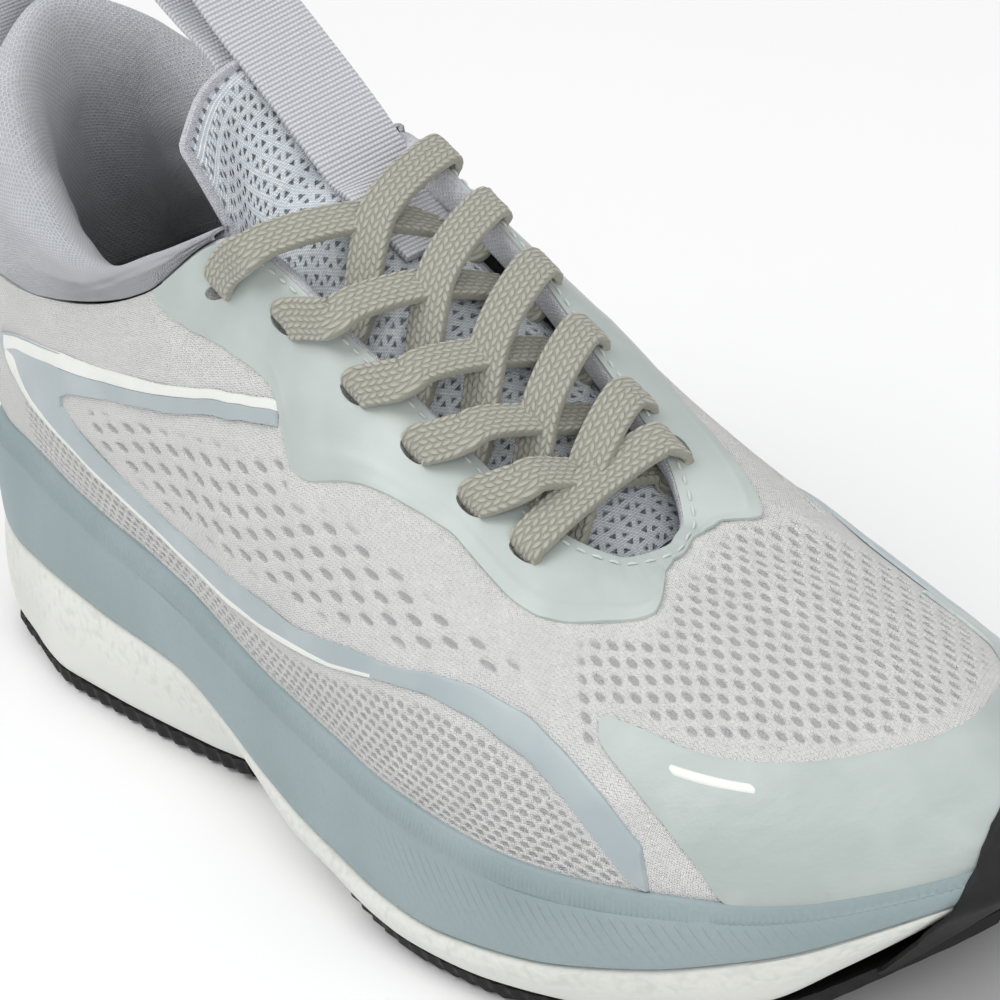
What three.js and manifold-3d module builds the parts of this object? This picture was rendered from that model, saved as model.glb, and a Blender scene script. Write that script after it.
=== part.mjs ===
// Running shoe, right foot, laced. Millimetres, +X to the toe, +Y to the medial side, +Z up.
// The origin lies on the ground under the centre of the bounding box.
import * as THREE from "three";
import Module from "manifold-3d";

const wasm = await Module();
wasm.setup();

// ---- driving dimensions -------------------------------------------------------------------
const FLEX_STATION = 7.6; // where the sole is divided for the toe flex, in upper stations
const SPLIT_GAP = 0.03; // in stations, about 0.8 mm
const RUBBER = 3.2; // outsole thickness
const LAYER_GAP = 0.5; // between stacked layers of the sole
const BED_DEPTH = 8; // footbed below the bite line
const LEAST_BED = 1.6; // least thickness of the carrier under the footbed
const BED_GAP = 0.9; // between the footbed, the board and the insole
const BOARD = 1.4; // strobel board thickness
const SOCKLINER = 3.6; // removable insole thickness
const KNIT = [-1.2, 0]; // layers of the upper, as offsets from its outer face
const STIFFENER = [-3, -2];
const LINING = [-4.8, -3.7];
const FILM = [0.9, 1.7];
const TOE_FILM = [1.2, 2];
const PRINT = [2.5, 2.9];
const LACE_WIDTH = 5.6;
const LACE_THICKNESS = 1.8;
const LACE_SIDES = 6;
const AGLET_WIDTH = 3;
const AGLET_LENGTH = 14.5;
const AGLET_GAP = 0.5;
const EYELET_SLOT = [9.6, 6.2, 16]; // along the throat, across it, through it
const LOOP_WIDTH = 18;
const TAB_WIDTH = 16;
const WEBBING_THICKNESS = 1.4;
const TONGUE_LAYERS = { face: [-0.9, 0], foam: [-4.2, -1.5], lining: [-6.9, -5.9] };
const CENTRING = [-2.3, 1.8, 0];
const UP = new THREE.Vector3(0, 0, 1);
const v3 = (p) => new THREE.Vector3(...p);
const mix = THREE.MathUtils.lerp;

// ---- materials ----------------------------------------------------------------------------
const material = (color, roughness) => new THREE.MeshStandardMaterial({ color, roughness });
const KNIT_GREY = material("#cfcccb", 0.9);
const FILM_MINT = material("#c3ccc9", 0.35);
const STRIPE_BLUE = material("#b3bcbf", 0.5);
const TRIM_WHITE = material("#eceee9", 0.5);
const LILAC = material("#a9abb0", 0.95);
const TONGUE_BLUE = material("#b9c2cc", 0.9);
const FOAM_WHITE = material("#e2e3dd", 0.7);
const CARRIER_BLUE = material("#9aa8ac", 0.6);
const RUBBER_BLACK = material("#2b2b2b", 0.7);
const LACE_TAUPE = material("#9a998c", 0.9);
const BOARD_WHITE = material("#d8d6d0", 0.9);

const shoe = new THREE.Group();
const forefoot = new THREE.Group();
const tongueTop = new THREE.Group();
const heelTab = new THREE.Group();
shoe.add(forefoot, tongueTop, heelTab);

// ---- the upper's outer face ---------------------------------------------------------------
// Each station of the upper is a curve from the bite line to the top edge: the bite point, the
// top point, and two handles given as [out, up] from the bite and [out, up] from the top.
// Stations 0 to 11 run from the heel along the lateral side to the toe, 11 to 22 back again.
const STATIONS = [
  [[-149, 1, 47], [-146, 0, 80], [4, 12], [3, -10]],
  [[-138, -26, 46], [-134, -23, 80], [4, 12], [3, -10]],
  [[-112, -33, 45], [-109, -31, 83], [3, 14], [3, -12]],
  [[-81, -37, 43], [-80, -32, 88], [3, 14], [3, -13]],
  [[-46, -40, 41], [-54, -30, 97], [3, 16], [3, -15]],
  [[-13, -45, 38], [-34, -19, 109], [3, 18], [8, -15]],
  [[18, -48, 35], [0, -16, 96], [3, 18], [13, -10]],
  [[46, -50, 33], [26, -14, 83], [2, 16], [15, -7]],
  [[74, -47, 31], [47, -12, 73], [2, 14], [17, -5]],
  [[101, -38, 31], [57, -7, 68], [2, 13], [22, -4]],
  [[128, -23, 33], [60, -3, 67], [2, 13], [30, -5]],
  [[150, 7, 38], [61, 2, 67], [3, 13], [38, -8]],
  [[137, 30, 36], [60, 5, 67.5], [2, 13], [30, -5]],
  [[110, 44, 32], [57, 9, 69], [2, 13], [22, -4]],
  [[80, 48, 31], [47, 13, 77], [2, 15], [17, -5]],
  [[52, 46, 33], [26, 16, 88], [2, 17], [15, -6]],
  [[20, 40, 36], [0, 19, 102], [2, 19], [13, -8]],
  [[-12, 35, 40], [-34, 21, 115], [3, 20], [9, -14]],
  [[-46, 33, 43], [-54, 30, 99], [3, 16], [3, -15]],
  [[-81, 34, 45], [-80, 32, 89], [3, 14], [3, -13]],
  [[-112, 33, 46], [-109, 31, 84], [3, 14], [3, -12]],
  [[-138, 25, 47], [-134, 23, 81], [4, 12], [3, -10]],
];
const TOE = 11;
const AROUND = STATIONS.length;
const mirrored = (station) => AROUND - station;

// Numbers from one value to another, both included, in steps of a size or in a count of steps.
const steps = (from, to, count) => Array.from({ length: count + 1 }, (_, i) => mix(from, to, i / count));
const range = (from, to, step) => steps(from, to, Math.round((to - from) / step));

const wrapIndex = (i) => ((i % AROUND) + AROUND) % AROUND;

// Catmull-Rom through a list of points, closed when read past its ends by wrapIndex.
function spline(points, at, pick = wrapIndex) {
  const i = Math.floor(at);
  const f = at - i;
  const [a, b, c, d] = [-1, 0, 1, 2].map((k) => points[pick(i + k)]);
  const out = b.clone().multiplyScalar(2);
  out.addScaledVector(c.clone().sub(a), f);
  const square = a.clone().multiplyScalar(2).addScaledVector(b, -5).addScaledVector(c, 4).sub(d);
  const cube = b.clone().multiplyScalar(3).sub(a).addScaledVector(c, -3).add(d);
  out.addScaledVector(square, f * f).addScaledVector(cube, f ** 3);
  return out.multiplyScalar(0.5);
}

const HANDLES = STATIONS.map(([bite, top, low, high]) => {
  const [b, t] = [v3(bite), v3(top)];
  const out = b.clone().sub(t).setZ(0).normalize();
  return [
    b,
    b.clone().addScaledVector(out, low[0]).addScaledVector(UP, low[1]),
    t.clone().addScaledVector(out, high[0]).addScaledVector(UP, high[1]),
    t,
  ];
});
const ROWS = [0, 1, 2, 3].map((k) => HANDLES.map((h) => h[k]));

// The outer face at a station and at a height fraction from the bite line to the top edge.
function face(station, height) {
  const [b, p, q, t] = ROWS.map((row) => spline(row, station));
  const r = 1 - height;
  return b
    .multiplyScalar(r ** 3)
    .addScaledVector(p, 3 * height * r * r)
    .addScaledVector(q, 3 * height * height * r)
    .addScaledVector(t, height ** 3);
}

function faceNormal(station, height) {
  const h = Math.min(Math.max(height, 0.02), 0.98);
  const along = face(station + 0.05, h).sub(face(station - 0.05, h));
  const upward = face(station, h + 0.02).sub(face(station, h - 0.02));
  return along.cross(upward).normalize();
}

const onUpper = (station, height, offset = 0) =>
  face(station, height).addScaledVector(faceNormal(station, height), offset);

// ---- closed solids from grids -------------------------------------------------------------
function closedGeometry(points, triangles) {
  const geometry = new THREE.BufferGeometry();
  const flat = points.flatMap((p) => [p.x, p.y, p.z]);
  geometry.setAttribute("position", new THREE.Float32BufferAttribute(flat, 3));
  let volume = 0;
  for (let i = 0; i < triangles.length; i += 3) {
    const [a, b, c] = [0, 1, 2].map((k) => points[triangles[i + k]]);
    volume += a.dot(b.clone().cross(c));
  }
  geometry.setIndex(volume < 0 ? triangles.slice().reverse() : triangles);
  return geometry;
}

// A sheet with thickness: pointAt(i, j, side) over columns x rows, side 0 outside and 1 inside.
function sheet(columns, rows, pointAt, ring = false) {
  const points = [];
  const count = ring ? columns : columns + 1;
  const index = (i, j, side) => ((i % count) * (rows + 1) + j) * 2 + side;
  for (let i = 0; i < count; i++)
    for (let j = 0; j <= rows; j++) points.push(pointAt(i, j, 0), pointAt(i, j, 1));
  const triangles = [];
  const quad = (a, b, c, d) => triangles.push(a, b, c, a, c, d);
  for (let i = 0; i < columns; i++) {
    for (let j = 0; j < rows; j++) {
      quad(index(i, j, 0), index(i + 1, j, 0), index(i + 1, j + 1, 0), index(i, j + 1, 0));
      quad(index(i, j, 1), index(i, j + 1, 1), index(i + 1, j + 1, 1), index(i + 1, j, 1));
    }
    quad(index(i, 0, 0), index(i, 0, 1), index(i + 1, 0, 1), index(i + 1, 0, 0));
    quad(index(i, rows, 0), index(i + 1, rows, 0), index(i + 1, rows, 1), index(i, rows, 1));
  }
  if (!ring)
    for (let j = 0; j < rows; j++) {
      quad(index(0, j, 0), index(0, j + 1, 0), index(0, j + 1, 1), index(0, j, 1));
      const end = columns;
      quad(index(end, j, 0), index(end, j, 1), index(end, j + 1, 1), index(end, j + 1, 0));
    }
  return closedGeometry(points, triangles);
}

// A patch of one layer of the upper between two height curves, columns at fixed stations.
function patch({ stations, rows, low, high, layer, ring = false }) {
  const at = (i, j, side) => {
    const s = stations[i];
    return onUpper(s, mix(low(s), high(s), j / rows), layer[1 - side]);
  };
  return sheet(ring ? stations.length : stations.length - 1, rows, at, ring);
}

// A strip between two edges, each a list of [station, height], both followed from end to end.
function strip(lower, upper, columns, rows, layer) {
  const edge = (list) => new THREE.CatmullRomCurve3(list.map(([s, h]) => new THREE.Vector3(s, h, 0)));
  const [a, b] = [edge(lower), edge(upper)];
  return sheet(columns, rows, (i, j, side) => {
    const at = a.getPoint(i / columns).lerp(b.getPoint(i / columns), j / rows);
    return onUpper(at.x, at.y, layer[1 - side]);
  });
}

// A solid through cross-sections that hold the same number of points. An end that tapers to an
// edge is closed by rungs between its two sides, and any other end by a flat cap.
function loft(sections, tapered = [false, false]) {
  const n = sections[0].length;
  const points = sections.flat();
  const triangles = [];
  for (let s = 0; s + 1 < sections.length; s++)
    for (let i = 0; i < n; i++) {
      const [a, b] = [s * n + i, s * n + ((i + 1) % n)];
      triangles.push(a, b, b + n, a, b + n, a + n);
    }
  const rungs = () => {
    const faces = [];
    for (let i = 0; i < n / 2 - 1; i++) {
      faces.push([i, i + 1, n - 2 - i], [i, n - 2 - i, n - 1 - i]);
    }
    return faces;
  };
  const cap = (first, turned, edge) => {
    const outline = points.slice(first, first + n).map((p) => new THREE.Vector2(p.y, p.z));
    for (const f of edge ? rungs() : THREE.ShapeUtils.triangulateShape(outline, [])) {
      const [a, b, c] = facing(f, outline, edge) ? f : [f[0], f[2], f[1]];
      triangles.push(first + a, first + (turned ? c : b), first + (turned ? b : c));
    }
  };
  cap(0, true, tapered[0]);
  cap(points.length - n, false, tapered[1]);
  return closedGeometry(points, triangles);
}

// Whether a cap's triangle runs the way its outline runs.
function facing([a, b, c], outline, edge) {
  if (edge) return true;
  const turn = THREE.ShapeUtils.area([outline[a], outline[b], outline[c]]);
  return turn > 0 === THREE.ShapeUtils.area(outline) > 0;
}

// ---- booleans -----------------------------------------------------------------------------
function toSolid(geometry) {
  return new wasm.Manifold(
    new wasm.Mesh({
      numProp: 3,
      vertProperties: Float32Array.from(geometry.attributes.position.array),
      triVerts: Uint32Array.from(geometry.index.array),
    }),
  );
}

function fromSolid(solid) {
  const mesh = solid.getMesh();
  const geometry = new THREE.BufferGeometry();
  geometry.setAttribute("position", new THREE.Float32BufferAttribute(mesh.vertProperties, 3));
  geometry.setIndex([...mesh.triVerts]);
  return geometry;
}

// A block centred at a point of the upper, turned to the throat line and the face's normal.
function blockOn(station, height, size) {
  const normal = faceNormal(station, height);
  const along = face(station + 0.05, height).sub(face(station - 0.05, height)).normalize();
  const across = normal.clone().cross(along).normalize();
  const flat = new THREE.BoxGeometry(...size).toNonIndexed();
  const matrix = new THREE.Matrix4().makeBasis(along, across, normal).setPosition(face(station, height));
  flat.applyMatrix4(matrix);
  const corner = new Map();
  const points = [];
  const triangles = [];
  const p = flat.attributes.position;
  for (let i = 0; i < p.count; i++) {
    const key = [p.getX(i), p.getY(i), p.getZ(i)].map((c) => c.toFixed(2)).join();
    if (!corner.has(key)) {
      corner.set(key, points.length);
      points.push(new THREE.Vector3().fromBufferAttribute(p, i));
    }
    triangles.push(corner.get(key));
  }
  return toSolid(closedGeometry(points, triangles));
}

// ---- eyelets ------------------------------------------------------------------------------
const EYELETS = 6;
const EYELET_HEIGHT = 0.85;
const eyeletStation = (n) => 4.82 + 0.6 * (n - 1);
const lateralEyelet = (n) => eyeletStation(n);
const medialEyelet = (n) => mirrored(eyeletStation(n));
const SLOTS = [];
for (let n = 1; n <= EYELETS; n++)
  for (const station of [lateralEyelet(n), medialEyelet(n)])
    SLOTS.push(blockOn(station, EYELET_HEIGHT, EYELET_SLOT));

const withEyelets = (geometry) =>
  fromSolid(SLOTS.reduce((solid, slot) => solid.subtract(slot), toSolid(geometry)));

function part(group, name, geometry, look) {
  const mesh = new THREE.Mesh(geometry, look);
  mesh.name = name;
  group.add(mesh);
}

// ---- sole ---------------------------------------------------------------------------------
// The sole is lofted across pairs of stations, lateral s with medial 22 - s, from heel to toe.
// Profiles are [x, z] points along the shoe.
const profile = (list) => (x) => {
  const last = list.length - 1;
  if (x <= list[0][0]) return list[0][1];
  if (x >= list[last][0]) return list[last][1];
  const i = list.findIndex(([at]) => at > x) - 1;
  const f = (x - list[i][0]) / (list[i + 1][0] - list[i][0]);
  return mix(list[i][1], list[i + 1][1], f * f * (3 - 2 * f));
};
// underside of the foam
const foamBase = profile([
  [-150, 10], [-132, 5], [-112, 4], [-46, 4], [-14, 8], [14, 7.5],
  [40, 4], [88, 4], [118, 10], [136, 20], [152, 31],
]);
// the wavy line where the foam meets the carrier
const foamTop = profile([
  [-150, 25], [-120, 23.5], [-48, 23.5], [-26, 20], [4, 13.5], [26, 11.5],
  [52, 11], [80, 13.5], [104, 17], [124, 22], [140, 28], [152, 33.5],
]);
// how far the side stands out from the bite line at the foam's base
const baseFlare = profile([
  [-150, -2], [-130, 8], [-100, 10], [-60, 4], [-30, -2], [0, 4],
  [30, 5], [62, 3], [84, -1], [110, -6], [135, -11], [152, -13],
]);
// and how far it stands out at the carrier's lower edge
const edgeFlare = profile([
  [-150, 3], [-120, 7], [-60, 5], [-20, 4], [30, 5], [90, 4], [130, 3], [152, 1.5],
]);

// The bite line is where the upper meets the sole.
const bite = (station) => face(station, 0);

// A point out from the bite line by a distance, at a height of its own.
function outFromBite(station, out, z) {
  const b = bite(station);
  const tangent = bite(station + 0.05).sub(bite(station - 0.05)).setZ(0).normalize();
  const outward = tangent.cross(UP);
  return b.addScaledVector(outward, out).setZ(z(b.x));
}

const HEEL_END = 0.12;
const TOE_END = 10.88;
const REAR_END = FLEX_STATION - SPLIT_GAP / 2;
const FRONT_START = FLEX_STATION + SPLIT_GAP / 2;
const REAR = steps(HEEL_END, REAR_END, 16);
const FRONT = steps(FRONT_START, TOE_END, 8);

// A cross-section runs up the lateral side and down the medial side through the given points.
const crossSection = (station, side) => [...side(station), ...side(mirrored(station)).reverse()];
const soleSolid = (stations, side) =>
  loft(
    stations.map((s) => crossSection(s, side)),
    [stations[0] < 1, stations[stations.length - 1] > 10],
  );

// The foam's side bulges a little between its base and its edge.
const middleFlare = (x) => mix(baseFlare(x), edgeFlare(x), 0.5) + 1.2;
// The foam's faces are hollowed a little, less where the foam is thin.
const hollow = (x, most) => Math.min(most, 0.25 * (foamTop(x) - foamBase(x)));
// A distance in from the side, less where the sole is too narrow for it.
const inset = (s, most) => -Math.min(most, 0.42 * bite(s).distanceTo(bite(mirrored(s))));
const foamSide = (s) => [
  outFromBite(s, inset(s, 14), (x) => foamBase(x) + hollow(x, 2.5)),
  outFromBite(s, baseFlare(bite(s).x), (x) => foamBase(x)),
  outFromBite(s, middleFlare(bite(s).x), (x) => mix(foamBase(x), foamTop(x), 0.5)),
  outFromBite(s, edgeFlare(bite(s).x), (x) => foamTop(x) - LAYER_GAP),
  outFromBite(s, inset(s, 8), (x) => foamTop(x) - LAYER_GAP - hollow(x, 2.5)),
];
const biteHeight = (s) => bite(s).z;
// The footbed keeps some of the carrier under it where the sole thins out at the toe.
const bedHeight = (s) => Math.max(biteHeight(s) - BED_DEPTH, foamTop(bite(s).x) + LEAST_BED);
const carrierSide = (s) => [
  outFromBite(s, edgeFlare(bite(s).x), (x) => foamTop(x)),
  outFromBite(s, mix(edgeFlare(bite(s).x), 0, 0.45) + 1, (x) => mix(foamTop(x), biteHeight(s), 0.55)),
  outFromBite(s, 0.6, () => biteHeight(s) - 0.5),
  outFromBite(s, inset(s, 2.6), () => biteHeight(s) - 0.7),
  outFromBite(s, inset(s, 4.6), () => bedHeight(s)),
];
const boardSide = (s) => [
  outFromBite(s, -5.4, () => bedHeight(s) + BED_GAP),
  outFromBite(s, -5.4, () => bedHeight(s) + BED_GAP + BOARD),
];
const sockSide = (s) => [
  outFromBite(s, -6, () => bedHeight(s) + 2 * BED_GAP + BOARD),
  outFromBite(s, -6, () => bedHeight(s) + 2 * BED_GAP + BOARD + SOCKLINER),
];

function sole() {
  part(shoe, "midsole_foam_rear", soleSolid(REAR, foamSide), FOAM_WHITE);
  part(forefoot, "midsole_foam_front", soleSolid(FRONT, foamSide), FOAM_WHITE);
  part(shoe, "midsole_carrier_rear", soleSolid(REAR, carrierSide), CARRIER_BLUE);
  part(forefoot, "midsole_carrier_front", soleSolid(FRONT, carrierSide), CARRIER_BLUE);
  const rear = steps(0.4, REAR_END, 14);
  const front = steps(FRONT_START, 10.35, 6);
  part(shoe, "strobel_board_rear", soleSolid(rear, boardSide), BOARD_WHITE);
  part(forefoot, "strobel_board_front", soleSolid(front, boardSide), BOARD_WHITE);
  part(shoe, "sockliner_rear", soleSolid(rear, sockSide), LILAC);
  part(forefoot, "sockliner_front", soleSolid(front, sockSide), LILAC);
}

// Rubber lies under the foam, its lower face RUBBER below the foam's base.
const rubberTop = (x) => foamBase(x) - LAYER_GAP;
const rubberBase = (x) => foamBase(x) - LAYER_GAP - RUBBER - 0.3;

function rubberPad(stations, outer, inner) {
  return loft(
    stations.map((s) => [
      outFromBite(s, inner(s), rubberBase),
      outFromBite(s, outer(s), rubberBase),
      outFromBite(s, outer(s) + 0.4, rubberTop),
      outFromBite(s, inner(s), rubberTop),
    ]),
  );
}

function outsole() {
  const edge = (s) => baseFlare(bite(s).x) - 0.5;
  const groove = (s) => -Math.abs(bite(s).y) + 6;
  const heelLateral = steps(0.5, 4.2, 8);
  part(shoe, "outsole_heel_lateral", rubberPad(heelLateral, edge, groove), RUBBER_BLACK);
  part(shoe, "outsole_heel_medial", rubberPad(heelLateral.map(mirrored), edge, groove), RUBBER_BLACK);
  const pad = (s) => [outFromBite(s, edge(s), rubberBase), outFromBite(s, edge(s) + 0.4, rubberTop)];
  part(shoe, "outsole_forefoot_rear", soleSolid(steps(6.2, REAR_END, 3), pad), RUBBER_BLACK);
  part(forefoot, "outsole_forefoot_front", soleSolid(steps(FRONT_START, 10.5, 6), pad), RUBBER_BLACK);
}

// The toe bumper stands in front of the foam and the carrier at the tip, clear of both.
function bumperPoint(station, row, clear) {
  const x = bite(station).x;
  const rows = [
    [baseFlare(x) + 2, (at) => foamBase(at) - 3.2],
    [middleFlare(x), (at) => mix(foamBase(at), foamTop(at), 0.5) - 2],
    [edgeFlare(x), (at) => foamTop(at) - 1],
    [0.8, () => biteHeight(station) - 1.5],
  ];
  return outFromBite(station, rows[row][0] + clear, rows[row][1]);
}

function toeBumper() {
  const stations = range(10.6, 11.7, 0.11);
  const at = (i, j, side) => bumperPoint(stations[i], j, side ? 3.4 : 4.8);
  part(forefoot, "toe_bumper", sheet(stations.length - 1, 3, at), RUBBER_BLACK);
}

// ---- upper --------------------------------------------------------------------------------
// The vamp bends in a zone between two height curves that rise from the ball to the toe.
const arch = (s, half, top) => top * Math.max(0, 1 - Math.abs((s - 11.2) / half) ** 6);
const ZONE = { from: 7.5, to: 14.9 };
const zoneRear = (s) => (s < ZONE.from || s > ZONE.to ? 0 : arch(s, 3.9, 0.8));
const zoneFront = (s) => arch(s, 3.1, 0.6);
const SEAM_GAP = 0.012;
const FLEX_COLUMNS = [ZONE.from + 0.06, ...range(8, 14.5, 0.5), ZONE.to - 0.06];
const QUARTER_COLUMNS = [
  ...range(0, 7, 0.5),
  ZONE.from - 0.01,
  ZONE.from + 0.03,
  ...range(8, 14.5, 0.5),
  ZONE.to - 0.03,
  ZONE.to + 0.01,
  ...range(15.5, 21.5, 0.5),
];
const FRONT_COLUMNS = [8.25, ...range(8.5, 14, 0.5), 14.15];

function shell(name, layer, look) {
  const piece = (stations, rows, low, high, ring) => patch({ stations, rows, low, high, layer, ring });
  const around = piece(QUARTER_COLUMNS, 5, (s) => zoneRear(s) + 0.002, () => 1, true);
  part(shoe, name + "_quarters", withEyelets(around), look);
  const low = (s) => zoneFront(s) + SEAM_GAP;
  const high = (s) => zoneRear(s) - SEAM_GAP;
  part(shoe, name + "_vamp_flex", piece(FLEX_COLUMNS, 2, low, high), look);
  const front = piece(FRONT_COLUMNS, 4, () => 0, (s) => zoneFront(s) - SEAM_GAP);
  part(forefoot, name + "_vamp_front", front, look);
}

function stiffeners() {
  const stiff = { layer: STIFFENER, low: () => 0.02, rows: 3 };
  const counterTop = (s) => 0.9 - 0.02 * s * s;
  const counter = patch({ ...stiff, stations: range(-3.5, 3.5, 0.5), high: counterTop });
  part(shoe, "heel_counter", counter, BOARD_WHITE);
  const puff = patch({ ...stiff, stations: range(9.5, 12.5, 0.5), high: () => 0.34 });
  part(forefoot, "toe_puff", puff, BOARD_WHITE);
  const backing = { ...stiff, rows: 1, low: () => 0.74, high: () => 0.99 };
  const lateral = patch({ ...backing, stations: range(4.5, 8, 0.5) });
  const medial = patch({ ...backing, stations: range(14, 17.5, 0.5) });
  part(shoe, "eyestay_backing_lateral", withEyelets(lateral), BOARD_WHITE);
  part(shoe, "eyestay_backing_medial", withEyelets(medial), BOARD_WHITE);
}

// Lower edges of the eyestay film, as [station, height], the medial ones mirrored.
const lateralFilm = profile([
  [4.3, 0.84], [5, 0.69], [5.5, 0.57], [6, 0.63], [7, 0.74], [7.8, 0.71],
  [8.5, 0.73], [9.5, 0.81], [10, 0.88], [10.5, 0.93], [11, 0.94],
]);
const medialFilm = profile([
  [4.3, 0.84], [5, 0.69], [5.5, 0.57], [6, 0.63], [7, 0.74],
  [8.3, 0.76], [8.7, 0.8], [9, 0.91], [11, 0.94],
]);
const filmLow = (s) => (s <= TOE ? lateralFilm(s) : medialFilm(mirrored(s)));

function overlays() {
  const film = { stations: range(4.5, 17.5, 0.5), rows: 2, layer: FILM };
  const eyestay = patch({ ...film, low: filmLow, high: () => 0.95 });
  part(shoe, "eyestay_overlay", withEyelets(eyestay), FILM_MINT);
  const binding = { rows: 1, layer: FILM, low: () => 0.965, high: () => 1 };
  const lateral = patch({ ...binding, stations: range(4.5, 8.5, 0.5) });
  part(shoe, "throat_binding_lateral", lateral, TRIM_WHITE);
  const medial = patch({ ...binding, stations: range(13.5, 17.5, 0.5) });
  part(shoe, "throat_binding_medial", medial, TRIM_WHITE);
  toeOverlay();
  lateralStripe();
  medialStripe();
}

function toeOverlay() {
  const low = [[9.6, 0.02], [10.2, 0.02], [11, 0.02], [12, 0.02], [12.8, 0.02], [13.3, 0.02]];
  const high = [[9.1, 0.49], [10.3, 0.43], [11.3, 0.41], [12.3, 0.35], [13, 0.34], [13.4, 0.36]];
  part(forefoot, "toe_overlay", strip(low, high, 10, 4, TOE_FILM), FILM_MINT);
  const bar = strip([[9.62, 0.385], [9.95, 0.365]], [[9.62, 0.41], [9.95, 0.39]], 2, 1, PRINT);
  part(forefoot, "toe_print_bar", bar, TRIM_WHITE);
}

// Edges of the stripe's lower arm, as [station, height].
const LOWER_ARM = {
  outer: [
    [2.1, 0.38], [2.9, 0.29], [3.5, 0.21], [4, 0.16], [4.8, 0.15],
    [5.5, 0.18], [6.1, 0.24], [6.7, 0.32], [7.2, 0.37],
  ],
  inner: [
    [2.7, 0.51], [3, 0.41], [3.5, 0.32], [4, 0.25], [4.9, 0.23],
    [5.6, 0.25], [6.2, 0.32], [6.8, 0.38], [7.15, 0.42],
  ],
};
// A line inside the lower arm, at a share of the way from its outer edge to its inner edge.
const armLine = (share) =>
  LOWER_ARM.outer.map(([s, h], i) => {
    const [t, k] = LOWER_ARM.inner[i];
    return [mix(s, t, share), mix(h, k, share)];
  });

function lateralStripe() {
  const arm = strip(armLine(0.22), LOWER_ARM.inner, 12, 1, FILM);
  part(shoe, "lateral_stripe_lower_arm", arm, STRIPE_BLUE);
  const trim = strip(LOWER_ARM.outer, armLine(0.12), 12, 1, FILM);
  part(shoe, "lateral_stripe_lower_trim", trim, TRIM_WHITE);
  const upperLow = [[2.75, 0.55], [3.5, 0.59], [4.3, 0.58], [4.95, 0.57]];
  const upperHigh = [[2.2, 0.62], [3.5, 0.66], [4.3, 0.635], [4.9, 0.62]];
  const trimLow = upperHigh.map(([s, h]) => [s, h + 0.012]);
  const trimHigh = upperHigh.map(([s, h]) => [s, h + 0.045]);
  part(shoe, "lateral_stripe_upper_arm", strip(upperLow, upperHigh, 7, 1, FILM), STRIPE_BLUE);
  part(shoe, "lateral_stripe_upper_trim", strip(trimLow, trimHigh, 7, 1, FILM), TRIM_WHITE);
  const frontLow = [[7.25, 0.37], [7.7, 0.39], [8.15, 0.36], [8.5, 0.28], [8.75, 0.16], [8.93, 0.03]];
  const frontHigh = [[7.22, 0.43], [7.65, 0.47], [8.15, 0.47], [8.52, 0.4], [8.85, 0.28], [9.18, 0.04]];
  part(shoe, "lateral_stripe_front_arm", strip(frontLow, frontHigh, 8, 1, FILM), STRIPE_BLUE);
}

function medialStripe() {
  const turn = (list) => list.map(([s, h]) => [mirrored(s), h]);
  const geometry = strip(turn(LOWER_ARM.inner), turn(LOWER_ARM.outer), 12, 1, FILM);
  part(shoe, "medial_stripe", geometry, STRIPE_BLUE);
}

// ---- collar -------------------------------------------------------------------------------
// Crest of the padded roll and its thickness, from the medial throat round the heel to the lateral.
const COLLAR = [
  [[-38, 20, 117], 4],
  [[-56, 27, 106], 8],
  [[-80, 28, 97], 9],
  [[-104, 25, 105], 14],
  [[-123, 16, 121], 15],
  [[-131, 0, 129], 13],
  [[-123, -16, 120], 15],
  [[-104, -25, 104], 14],
  [[-80, -28, 95], 9],
  [[-56, -26, 103], 8],
  [[-38, -18, 111], 4],
];
const clampIndex = (i) => Math.min(Math.max(i, 0), COLLAR.length - 1);
const CRESTS = COLLAR.map(([p]) => v3(p));
const THICKNESSES = COLLAR.map(([, d]) => new THREE.Vector3(d, 0, 0));

// The roll's outline as [height fraction, side]: up the outside, over the crest, down the inside.
const ROLL = [
  [0, -1], [0.3, -1.15], [0.65, -1.05], [0.9, -0.65], [1, 0],
  [0.9, 0.65], [0.6, 1.1], [0.25, 1.15], [0, 1],
];

function rollPoint(station, k, shrink) {
  const at = 5 + station;
  const crest = spline(CRESTS, at, clampIndex);
  const d = spline(THICKNESSES, at, clampIndex).x;
  const seam = face(station, 1);
  const inward = faceNormal(station, 1).setZ(0).normalize().negate();
  const [height, side] = ROLL[k];
  const half = Math.max(d / 2 - shrink, 0.6);
  const foot = seam.clone().addScaledVector(inward, d / 2 - 0.2).addScaledVector(UP, 0.7 + shrink);
  const top = crest.clone().addScaledVector(UP, -shrink);
  return foot.lerp(top, height).addScaledVector(inward, side * half);
}

// The lining wraps the roll like a channel, and the foam fills it.
function collar() {
  const span = steps(-4.75, 4.75, 24);
  const last = ROLL.length - 1;
  const wrapped = (i, j, side) => rollPoint(span[i], j, side ? 1.1 : 0);
  part(shoe, "collar_lining", sheet(span.length - 1, last, wrapped), LILAC);
  const filled = steps(-4.4, 4.4, 20);
  const filling = (i, j, side) => rollPoint(filled[i], side ? last - j : j, 1.9);
  part(shoe, "collar_foam", sheet(filled.length - 1, 3, filling), BOARD_WHITE);
}

// A webbing strap along an [x, z] path, as wide as the webbing, centred at y.
function strap(path, y, width) {
  const curve = new THREE.CatmullRomCurve3(path.map(([x, z]) => new THREE.Vector3(x, 0, z)));
  const corner = (up, across, out) =>
    up.clone().multiplyScalar((out * WEBBING_THICKNESS) / 2).setY(y + (across * width) / 2);
  const section = (side, up) => [corner(up, -1, -1), corner(up, 1, -1), corner(up, 1, 1), corner(up, -1, 1)];
  return loftAlong(curve, 24, section, new THREE.Vector3(0, 1, 0));
}

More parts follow.
